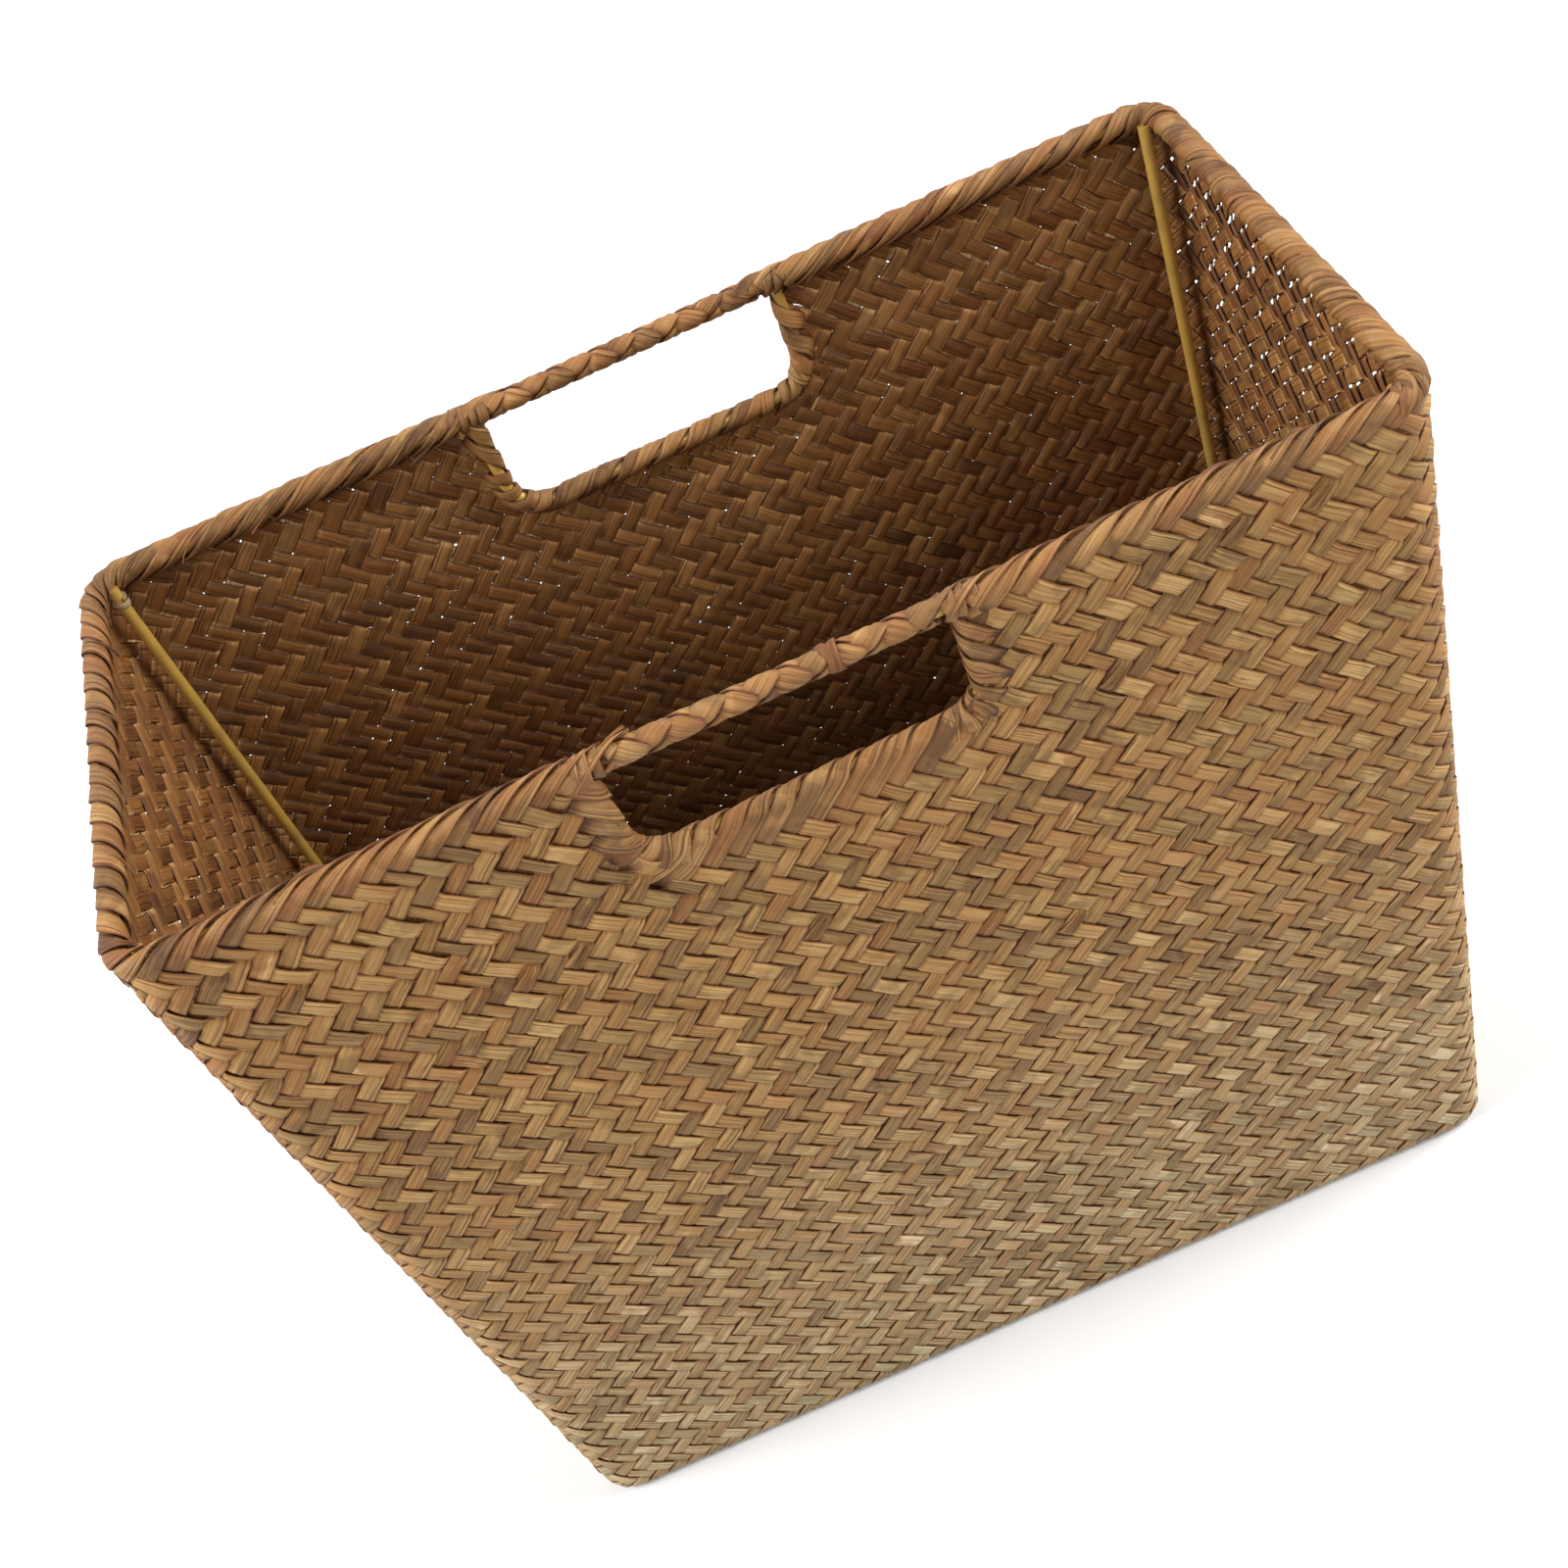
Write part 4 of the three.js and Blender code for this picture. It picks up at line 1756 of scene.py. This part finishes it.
class StrandGroup:
    """Node group with the colour, painted light and shade, and relief of a rush strand, shared by
    every rush finish.
    """

    NAME = "rush strand"
    COLOURS = ("Umber", "Olive", "Straw", "Gold", "Russet", "Pale")
    STEPS = ((0.1, 0.2), (0.3, 0.42), (0.48, 0.58), (0.64, 0.74), (0.82, 0.94))
    CROSSING = 0.00576
    LAST_RISING = 133.5
    # Painted shade: how far splits, creases, float edges and strands lying under others are darkened
    SPLIT_DARK = 0.4
    CREASE_DARK = 0.4
    EDGE_DARK = 0.65
    UNDER_DARK = 0.62
    POWERS = (1.38, 1.95)
    # Tints: a redder painted shade at the float edges; a lightening of the inner faces that is partly
    # their own greyer tone and partly painted light; and a darker top against a paler, bluer foot, a
    # painted floor bounce
    WORN_TINT = (0.9, 0.66, 0.46)
    INNER_TINT = (1.485, 1.647, 2.2)
    FOOT_TINT = (1.062, 1.391, 2.087)
    HEAD_TINT = (0.877, 0.855, 0.771)

    @classmethod
    def tree(cls) -> bpy.types.NodeTree:
        """Builds the group the first time it is asked for.

        Returns:
            The node group.
        """
        if cls.NAME in bpy.data.node_groups:
            return bpy.data.node_groups[cls.NAME]
        tree = bpy.data.node_groups.new(cls.NAME, "ShaderNodeTree")
        for names, direction, kind in (
            (("Strand",), "INPUT", "NodeSocketVector"),
            (("Shade", "Face", "Lowness"), "INPUT", "NodeSocketFloat"),
            (cls.COLOURS, "INPUT", "NodeSocketColor"),
            (("Color",), "OUTPUT", "NodeSocketColor"),
            (("Roughness", "Height"), "OUTPUT", "NodeSocketFloat"),
        ):
            for name in names:
                tree.interface.new_socket(name, in_out=direction, socket_type=kind)
        cls.fill(NodeSheet(tree))
        return tree

    @classmethod
    def fill(cls, sheet: NodeSheet) -> None:
        """Lays out the group's nodes.

        Args:
            sheet: the group's empty tree.
        """
        given = sheet.add("NodeGroupInput").outputs
        share, along, number = sheet.parts(given["Strand"])
        times, ramp = sheet.times, sheet.ramp

        def grain(across: float, length: float, key: float, detail: float) -> Socket:
            """Noise with a scale across and one along the strand, of its own for every strand."""
            scales = ((share, across), (along, length), (number, key))
            place = sheet.vector(*(times(part, scale) for part, scale in scales))
            return sheet.noise(place, 1.0, detail)

        # Tone: each strand has its own, which drifts along it, and picks a colour
        tone = times(sheet.chance(number), 0.6, times(grain(0.15, 28.0, 5.3, 1.0), 0.6, -0.3))
        tone = sheet.math("ADD", tone, times(grain(0.5, 110.0, 9.1, 2.0), 0.6, -0.1))
        colour = given[cls.COLOURS[0]]
        for name, step in zip(cls.COLOURS[1:], cls.STEPS):
            colour = sheet.mix(ramp(tone, *step), colour, given[name])

        # Fibres run along the strand; some strands have split, and some have a folded edge
        fibre = grain(5.0, 26.0, 3.1, 3.0)
        split_line = sheet.math("ABSOLUTE", sheet.math("SUBTRACT", grain(2.4, 16.0, 7.7, 1.0), 0.52))
        has_split = ramp(sheet.chance(sheet.math("ADD", number, 0.37)), 0.45, 0.6)
        split = times(ramp(split_line, 0.022, 0.0), has_split)
        fold = times(grain(0.0, 60.0, 2.3, 1.0), 0.5, 0.22)
        past_fold = sheet.math("SUBTRACT", share, fold)
        has_fold = ramp(sheet.chance(sheet.math("ADD", number, 0.71)), 0.5, 0.56)
        crease = times(ramp(sheet.math("ABSOLUTE", past_fold), 0.1, 0.02), has_fold)
        lip = times(ramp(past_fold, 0.02, 0.12), has_fold)

        # Lightness: each float differs a little from the next one, and every second strand is paler;
        # the falling strands are paler still, a painted sheen.
        # The lip of a fold gets a painted highlight, and splits, creases, float edges and strands
        # lying under others get painted shade
        light = times(fibre, 1.6, 0.155)
        inward = ramp(given["Face"], 0.2, -0.6)
        float_number = sheet.math("FLOOR", times(along, 1 / (2 * cls.CROSSING), 0.25))
        own_float = sheet.chance(times(number, 17.0, float_number))
        contrast = times(inward, 0.3, 0.34)
        light = times(sheet.math("SUBTRACT", own_float, 0.5), contrast, light)
        even = sheet.math("LESS_THAN", sheet.math("MODULO", number, 2.0), 0.5)
        falling = sheet.math("GREATER_THAN", number, cls.LAST_RISING)
        # Painted sheen: the extra paleness of the falling strands, here and on the next line
        light = times(even, times(falling, 0.1, 0.05), light)
        light = times(falling, 0.12, light)
        # Painted highlight on the raised lip beyond a folded edge
        light = times(lip, 0.12, light)
        # Painted shade: splits, creases, float edges and strands lying under others are darkened
        edge = ramp(sheet.math("ABSOLUTE", share), 0.78, 1.0)
        for mask, dark in (
            (split, cls.SPLIT_DARK),
            (crease, cls.CREASE_DARK),
            (edge, cls.EDGE_DARK),
            (given["Shade"], cls.UNDER_DARK),
        ):
            light = times(light, times(mask, -dark, 1.0))

        # Darker places are redder, painted shade among them, and the float edges get a redder painted
        # shade.
        # The inner faces are lightened, partly their own greyer tone and partly painted light; the
        # foot is paler and greyer, a painted floor bounce, and the top darker
        depth = sheet.vector(light, *(sheet.math("POWER", light, power) for power in cls.POWERS))
        for amount, tint in (
            (1.0, depth),
            (times(edge, 0.5), cls.WORN_TINT),
            (inward, cls.INNER_TINT),
            (1.0, sheet.mix(given["Lowness"], cls.HEAD_TINT, cls.FOOT_TINT)),
        ):
            colour = sheet.mix(amount, colour, tint, "MULTIPLY")

        height = times(split, -0.7, times(fibre, 0.75))
        height = sheet.math("ADD", height, times(crease, -0.5, times(lip, 0.35)))
        results = {"Color": colour, "Roughness": times(fibre, -0.3, 0.78), "Height": height}
        sheet.add("NodeGroupOutput", results)


class Finish(Protocol):
    """A finish, which lays out the nodes of its material."""

    name: str

    def lay_out(self, sheet: NodeSheet) -> None:
        """Lays out the material's nodes on an empty tree."""


def material(finish: Finish) -> bpy.types.Material:
    """The material of a finish, built the first time it is asked for.

    Args:
        finish: the finish.

    Returns:
        The material.
    """
    if finish.name in bpy.data.materials:
        return bpy.data.materials[finish.name]
    made = bpy.data.materials.new(finish.name)
    made.use_nodes = True
    made.node_tree.nodes.clear()
    finish.lay_out(NodeSheet(made.node_tree))
    return made


@dataclass(frozen=True)
class RushFinish:
    """Flat rush: matt with a slight sheen, in colours that differ from strand to strand."""

    name: str
    colours: tuple[Colour, ...]
    relief: float = 0.00035
    # Heights at which the painted floor bounce starts and where it is full
    foot_fade: Pair = (0.34, 0.0)

    def lay_out(self, sheet: NodeSheet) -> None:
        """Lays out the material's nodes.

        Args:
            sheet: the material's empty tree.
        """
        # Lowness, from the height, drives a painted floor bounce: paler and bluer towards the foot
        lowness = sheet.ramp(sheet.parts(sheet.place())[2], *self.foot_fade)
        inputs = {"Lowness": sheet.math("MULTIPLY", lowness, lowness)}
        for name, output in (("Strand", "Vector"), ("Shade", "Fac"), ("Face", "Fac")):
            node = sheet.add("ShaderNodeAttribute", attribute_name=name.lower())
            inputs[name] = node.outputs[output]
        inputs |= zip(StrandGroup.COLOURS, self.colours)
        strand = sheet.add("ShaderNodeGroup", inputs, node_tree=StrandGroup.tree()).outputs
        surface = {
            "Base Color": strand["Color"],
            "Roughness": strand["Roughness"],
            "Normal": sheet.bump(strand["Height"], self.relief),
            "Specular IOR Level": 0.4,
        }
        sheet.show(sheet.add("ShaderNodeBsdfPrincipled", surface))


def rush(name: str, **colours: tuple[int, int, int]) -> RushFinish:
    """A rush finish, from its six colours in eight-bit sRGB."""
    return RushFinish(name, tuple(linear(*colours[key.lower()]) for key in StrandGroup.COLOURS))


PLAIT_FINISH = rush(
    "plait_finish",
    umber=(118, 80, 37),
    olive=(145, 109, 60),
    straw=(178, 135, 80),
    gold=(167, 122, 67),
    russet=(163, 114, 62),
    pale=(202, 156, 100),
)
RIM_FINISH = rush(
    "rim_finish",
    umber=(91, 54, 24),
    olive=(126, 89, 48),
    straw=(160, 118, 70),
    gold=(153, 106, 58),
    russet=(141, 92, 49),
    pale=(190, 144, 93),
)
LASHING_FINISH = rush(
    "lashing_finish",
    umber=(96, 60, 29),
    olive=(129, 91, 51),
    straw=(154, 112, 65),
    gold=(147, 102, 55),
    russet=(138, 90, 49),
    pale=(180, 134, 82),
)
TIE_FINISH = rush(
    "tie_finish",
    umber=(152, 128, 96),
    olive=(170, 148, 114),
    straw=(190, 168, 134),
    gold=(182, 158, 122),
    russet=(174, 148, 114),
    pale=(210, 190, 158),
)


@dataclass(frozen=True)
class GoldPaint:
    """Olive gold paint on the frame's wires, a little uneven and dusty."""

    name: str = "gold_paint"
    colour: Colour = linear(196, 156, 72)
    dust: Colour = linear(172, 136, 70)
    dusty: Pair = (0.4, 0.75)
    cloud_scale: float = 90.0
    grain_scale: float = 1800.0
    relief: float = 0.00004

    def lay_out(self, sheet: NodeSheet) -> None:
        """Lays out the material's nodes.

        Args:
            sheet: the material's empty tree.
        """
        place = sheet.place()
        cloud = sheet.noise(place, self.cloud_scale, 3.0)
        grain = sheet.noise(place, self.grain_scale, 2.0)
        surface = {
            "Base Color": sheet.mix(sheet.ramp(cloud, *self.dusty), self.colour, self.dust),
            "Roughness": sheet.times(cloud, 0.3, 0.28),
            "Metallic": 0.15,
            "Normal": sheet.bump(grain, self.relief),
        }
        sheet.show(sheet.add("ShaderNodeBsdfPrincipled", surface))


# The whole basket


@dataclass(frozen=True)
class Kind:
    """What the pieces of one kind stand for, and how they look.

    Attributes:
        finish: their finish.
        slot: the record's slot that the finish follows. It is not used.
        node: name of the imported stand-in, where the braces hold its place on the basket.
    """

    finish: RushFinish
    slot: Slot
    node: str = ""


KINDS = {
    "plait": Kind(PLAIT_FINISH, Slot.PLAIT, "wall_weave_{}"),
    "torn_strands": Kind(PLAIT_FINISH, Slot.PLAIT, "wall_weave_{}"),
    "plait_base": Kind(PLAIT_FINISH, Slot.PLAIT, "base_weave"),
    "rim_wraps": Kind(RIM_FINISH, Slot.RIM, "rim_binding_{}"),
    "corner_wraps": Kind(RIM_FINISH, Slot.LASHING, "corner_lashing_{}"),
    "braid": Kind(RIM_FINISH, Slot.RIM, "grip_braid_{}"),
    "sill_wraps": Kind(RIM_FINISH, Slot.RIM, "handhold_sill_binding_{}"),
    "leg_wraps": Kind(RIM_FINISH, Slot.LASHING, "handhold_side_binding_{}"),
    "lashing": Kind(LASHING_FINISH, Slot.LASHING, "grip_lashing_{}"),
    "post_tie": Kind(TIE_FINISH, Slot.LASHING),
}


@dataclass
class Basket:
    """All of the rush on the frame."""

    SIDES = ("front", "right", "back", "left")
    CORNERS = ("front_left", "front_right", "back_right", "back_left")

    last_band_drop: float = 0.003
    plait_top_drop: float = 0.0015
    foot_reach: float = 0.001
    rim_fold_radius: float = 0.0039
    rim_fold_end: Pair = (0.0006, -0.0064)
    handhold_fold_radius: float = 0.0031
    handhold_fold_end: Pair = (0.0008, -0.0055)
    corner_margin: float = 0.004
    grip_margin: float = 0.007
    bend_wraps: tuple[int, int] = (5, 4)
    lashing_half_length: float = 0.0058
    lashing_radius: float = 0.0034
    lashing_turns: float = 3.3
    lashing_half_width: float = 0.0019
    lashing_number: float = 50.0
    post_radius: float = 0.002
    tie_gap: float = 0.0003
    tie_drops: Pair = (0.0075, 0.0045)
    tie_turns: float = 1.4
    tie_half_width: float = 0.0014
    tie_number: float = 21.0
    tie_swell: float = 0.0003
    band_places: tuple[tuple[float, ...], ...] = (
        (),
        (-0.0075, -0.0035, 0.0005, 0.0045),
        (-0.003, 0.003),
        (),
    )
    tightness: tuple[Tightness, ...] = (
        Tightness(),
        Tightness(0.955, 0.3),
        Tightness(),
        Tightness(0.975, 0.4),
    )
    torn_places: tuple[Pair, ...] = (
        (0.132, 0.366),
        (0.125, 0.359),
        (0.158, 0.366),
        (-0.09, 0.318),
        (-0.079, 0.3115),
        (-0.104, 0.307),
        (-0.062, 0.328),
        (-0.092, 0.298),
        (-0.148, 0.351),
        (0.093, 0.331),
        (-0.012, 0.283),
        (0.061, 0.238),
    )

    def __post_init__(self) -> None:
        """Reads the frame and lays out the plait."""
        self.shell = shell = Shell.measured()
        low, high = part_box("handhold_wire_front")
        wire_low, wire_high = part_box("rim_wire")
        wire_radius = (wire_high.z - wire_low.z) / 2
        plain = Handhold(shell, 0, high.x - wire_radius, 0.0)
        drop = (shell.rim_z - low.z - wire_radius) / math.cos(plain.lean)
        self.handholds = [Handhold(shell, side, plain.leg_x, drop) for side in (0, 2)]
        twill = Twill(shell.girth, shell.rim_z - self.last_band_drop)
        top_z, foot_v = shell.rim_z - self.plait_top_drop, shell.fold_v - self.foot_reach
        self.plait = Plait(shell, twill, self.handholds, top_z, foot_v)
        front = shell.weave_offset + twill.relief
        start = twill.height(twill.start_crossing) - shell.rim_z
        self.rim_fold = Fold(self.rim_fold_radius, (front, start), self.rim_fold_end)
        self.sill_fold, self.leg_fold = (
            Fold(self.handhold_fold_radius, (front, -reach), self.handhold_fold_end)
            for reach in (self.plait.sill_reach, plain.leg_reach)
        )
        self.plait_maker = StrandMaker()
        self.wrap_maker = StrandMaker(segments=12, squareness=0.85, crown=0.00024)

    def build(self) -> None:
        """Builds every piece, from the plait up to the lashings."""
        self.build_walls()
        self.build_base()
        self.build_rim()
        for handhold in self.handholds:
            self.build_handhold(handhold)
        self.build_post_tie()

    def add(
        self, kind: str, place: str, strands: list[Strand], surface: Surface, family: str = ""
    ) -> None:
        """Builds a piece of strands, and gives it its finish and its place in the model.

        Args:
            kind: which kind of piece it is.
            place: its place on the basket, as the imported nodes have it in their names.
            strands: what it is made of.
            surface: what they lie on.
            family: which strands of the plait these are, where only one family is in the piece.
        """
        look, name = KINDS[kind], "_".join(filter(None, (kind, place, family)))
        flat = isinstance(surface, (WallSurface, BaseSurface))
        piece = (self.plait_maker if flat else self.wrap_maker).build(name, strands, surface)
        piece.data.materials.append(material(look.finish))
        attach(piece, BODY)
        node = look.node.format(place)
        if node:
            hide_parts(node)
        triangles = sum(len(polygon.vertices) - 2 for polygon in piece.data.polygons)
        LOG.info("%s: %d triangles, stands for %s", name, triangles, node or "itself")

    def build_walls(self) -> None:
        """Builds each wall's rising and falling strands, and the torn ones of the long walls."""
        surface, torn = WallSurface(self.shell), TornStrands(self.plait)
        for side, name in enumerate(self.SIDES):
            for family in Family:
                strands = self.plait.wall(side, family, self.tightness[side])
                self.add("plait", name, strands, surface, family.name.lower())
            if side % 2 == 0:
                self.add("torn_strands", name, torn.strands(side, self.torn_places), surface)

    def build_base(self) -> None:
        """Builds the base's strands."""
        surface = BaseSurface(self.shell)
        for family in Family:
            self.add("plait_base", "", self.plait.base(family), surface, family.name.lower())

    @staticmethod
    def ends(side: int) -> tuple[str, str]:
        """Names of the ends of a long side, from left to right as seen from outside."""
        return ("left", "right") if side == 0 else ("right", "left")

    def build_rim(self) -> None:
        """Builds the wraps on the rim and the lashings at its corners."""
        starts, leg_x = self.shell.starts, self.handholds[0].leg_x
        wraps = RimWraps(self.shell, self.plait, self.rim_fold, leg_x)
        low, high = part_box(f"corner_lashing_{self.CORNERS[0]}")
        reach, gap = high.x - low.x - self.corner_margin, leg_x - self.grip_margin
        for corner, start, places in zip(self.CORNERS, starts, self.band_places):
            strands = wraps.between(start - reach, start + reach) + wraps.bands(start, places)
            self.add("corner_wraps", corner, strands, wraps.surface)
        for side, name in enumerate(self.SIDES):
            first, last = starts[side] + reach, starts[side + 1] - reach
            stretches = {name: (first, last)}
            if side % 2 == 0:
                middle = self.shell.middle(side)
                halves = ((first, middle - gap), (middle + gap, last))
                stretches = {f"{name}_{end}": half for end, half in zip(self.ends(side), halves)}
            for place, stretch in stretches.items():
                self.add("rim_wraps", place, wraps.between(*stretch), wraps.surface)

    def build_handhold(self, handhold: Handhold) -> None:
        """Builds a handhold's grip, the wraps round its edge and its lashings.

        Args:
            handhold: the handhold.
        """
        name = self.SIDES[handhold.side]
        low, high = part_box(f"grip_braid_{name}")
        grip = GripBraid(handhold, (high.x - low.x) / 2)
        self.add("braid", name, grip.strands(), grip.surface)
        wraps = HandholdWraps(handhold, self.plait, self.sill_fold, self.leg_fold)
        self.add("sill_wraps", name, wraps.sill(), HandholdSurface(handhold, self.sill_fold))
        leg_surface = HandholdSurface(handhold, self.leg_fold)
        for sign, end in zip((-1, 1), self.ends(handhold.side)):
            strands = wraps.leg(sign) + wraps.bend(sign, self.bend_wraps[handhold.side // 2])
            self.add("leg_wraps", f"{name}_{end}", strands, leg_surface)
            middle, half = sign * handhold.leg_x, self.lashing_half_length
            tips = handhold.to_basket(np.array([[middle - half, 0, 0], [middle + half, 0, 0]]))
            surface = WireSurface(Vector(tips[0]), Vector(tips[1]), self.lashing_radius)
            number = self.lashing_number + 11 * sign + handhold.side
            lashing = Lashing(surface, self.lashing_turns, self.lashing_half_width, number)
            self.add("lashing", f"{name}_{end}", lashing.strands(), surface)

    def build_post_tie(self) -> None:
        """Builds the pale strand that ties the back left post's head."""
        low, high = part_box("corner_post_back_left")
        radius = self.post_radius
        foot = Vector((high.x - radius, low.y + radius, low.z))
        head = Vector((low.x + radius, high.y - radius, high.z))
        down = (foot - head).normalized()
        ends = (head + down * drop for drop in self.tie_drops)
        surface = WireSurface(*ends, radius + self.tie_gap, (0.0, 1.0, 0.0))
        tie = Lashing(
            surface, self.tie_turns, self.tie_half_width, self.tie_number, swell=self.tie_swell
        )
        self.add("post_tie", "back_left", tie.strands(), surface)


def dress_wires() -> None:
    """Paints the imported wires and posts."""
    paint = material(GoldPaint())
    for name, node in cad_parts.items():
        if name in ("rim_wire", "base_wire") or name.startswith(("corner_post", "handhold_wire")):
            node.data.materials.clear()
            node.data.materials.append(paint)
            LOG.info("%s: painted", name)


# The studio


def seen(sheet: NodeSheet) -> Socket:
    """Whether a ray is what the camera sees, also in a reflection or through something clear."""
    path = sheet.add("ShaderNodeLightPath").outputs
    mirrored = sheet.math("MAXIMUM", path["Is Glossy Ray"], path["Is Transmission Ray"])
    return sheet.math("MAXIMUM", path["Is Camera Ray"], mirrored)


@dataclass(frozen=True)
class PaleFloor:
    """A floor that keeps the basket's shadow, and runs out into white far from the basket.

    Attributes:
        name: its name.
        shade: how pale it looks.
        bounce: how pale it is for the light that it throws back.
        fade: where it starts to turn white, and where it is all white.
    """

    name: str = "floor_white"
    shade: Colour = (0.8, 0.8, 0.8)
    bounce: Colour = (0.5, 0.5, 0.5)
    fade: Pair = (0.5, 1.2)

    def lay_out(self, sheet: NodeSheet) -> None:
        """Lays out the material's nodes.

        Args:
            sheet: the material's empty tree.
        """
        in_view = seen(sheet)
        surface = {
            "Base Color": sheet.mix(in_view, self.bounce, self.shade),
            "Roughness": 0.9,
            "Specular IOR Level": 0.1,
        }
        shader = sheet.add("ShaderNodeBsdfPrincipled", surface).outputs[0]
        white = sheet.add("ShaderNodeEmission").outputs[0]
        length = sheet.add("ShaderNodeVectorMath", {0: sheet.place()}, operation="LENGTH")
        far = sheet.ramp(length.outputs["Value"], *self.fade)
        share = sheet.math("MULTIPLY", far, in_view)
        sheet.show(sheet.add("ShaderNodeMixShader", {0: share, 1: shader, 2: white}))


@dataclass(frozen=True)
class Lamp:
    """A soft square lamp that faces the basket."""

    name: str
    place: Triple
    power: float
    size: float = 1.2
    aim: Triple = (0.0, 0.0, 0.2)

    def build(self) -> None:
        """Hangs up the lamp."""
        light = bpy.data.lights.new(self.name, "AREA")
        light.shape = "SQUARE"
        light.size = self.size
        light.energy = self.power
        lamp = link(self.name, light)
        lamp.location = self.place
        way = Vector(self.aim) - Vector(self.place)
        lamp.rotation_euler = way.to_track_quat("-Z", "Y").to_euler()


@dataclass(frozen=True)
class Studio:
    """Pale floor, soft light and the camera, at the photograph's angle.

    Right, up and back are the camera's own axes, in the basket's frame.
    """

    camera_at: Triple = (0.00222, -0.48131, 0.73587)
    right: Triple = (0.9133, -0.27758, -0.29804)
    up: Triple = (0.40691, 0.65296, 0.6388)
    back: Triple = (0.01729, -0.7047, 0.7093)
    focal_px: float = 2050.0
    sensor_mm: float = 36.0
    floor_size: float = 12.0
    floor_gap: float = 0.0002
    world_strength: float = 0.1
    lamps: tuple[Lamp, ...] = (
        Lamp("left", (-1.9, -0.1, 1.5), 66.0),
        Lamp("right", (1.9, -0.1, 1.5), 64.0),
        Lamp("front", (0.1, -1.7, 1.35), 17.0),
        Lamp("back", (0.0, 1.6, 1.6), 14.0),
    )

    def build(self) -> None:
        """Sets up the floor, the light and the camera."""
        self.build_floor()
        self.build_world()
        for lamp in self.lamps:
            lamp.build()
        self.build_camera()
        bpy.context.scene.view_settings.view_transform = "Standard"

    def build_floor(self) -> None:
        """Lays the floor."""
        bm = bmesh.new()
        bmesh.ops.create_grid(bm, x_segments=1, y_segments=1, size=self.floor_size / 2)
        bmesh.ops.translate(bm, verts=bm.verts, vec=(0.0, 0.0, -self.floor_gap))
        floor = link("floor", to_mesh(bm, "floor"))
        floor.data.materials.append(material(PaleFloor()))

    def build_world(self) -> None:
        """Fills the shadows a little from all round, in front of a white background."""
        world = bpy.data.worlds.new("studio")
        world.use_nodes = True
        world.node_tree.nodes.clear()
        sheet = NodeSheet(world.node_tree)
        strength = sheet.times(seen(sheet), 1 - self.world_strength, self.world_strength)
        inputs = {"Color": (1.0, 1.0, 1.0), "Strength": strength}
        background = sheet.add("ShaderNodeBackground", inputs)
        sheet.add("ShaderNodeOutputWorld", {"Surface": background.outputs[0]})
        bpy.context.scene.world = world

    def build_camera(self) -> None:
        """Puts the camera where the photograph was taken from."""
        data = bpy.data.cameras.new("camera")
        data.sensor_fit = "HORIZONTAL"
        data.sensor_width = self.sensor_mm
        data.lens = self.focal_px / PHOTO_WIDTH_PX * self.sensor_mm
        camera = link("camera", data)
        turn = Matrix((self.right, self.up, self.back)).transposed()
        camera.matrix_world = Matrix.Translation(self.camera_at) @ turn.to_4x4()
        bpy.context.scene.camera = camera


def main() -> None:
    """Builds and dresses the basket, and sets up the studio."""
    Studio().build()
    Basket().build()
    dress_wires()


if __name__ == "__main__":
    logging.basicConfig(level=logging.INFO, format="%(message)s")
    main()
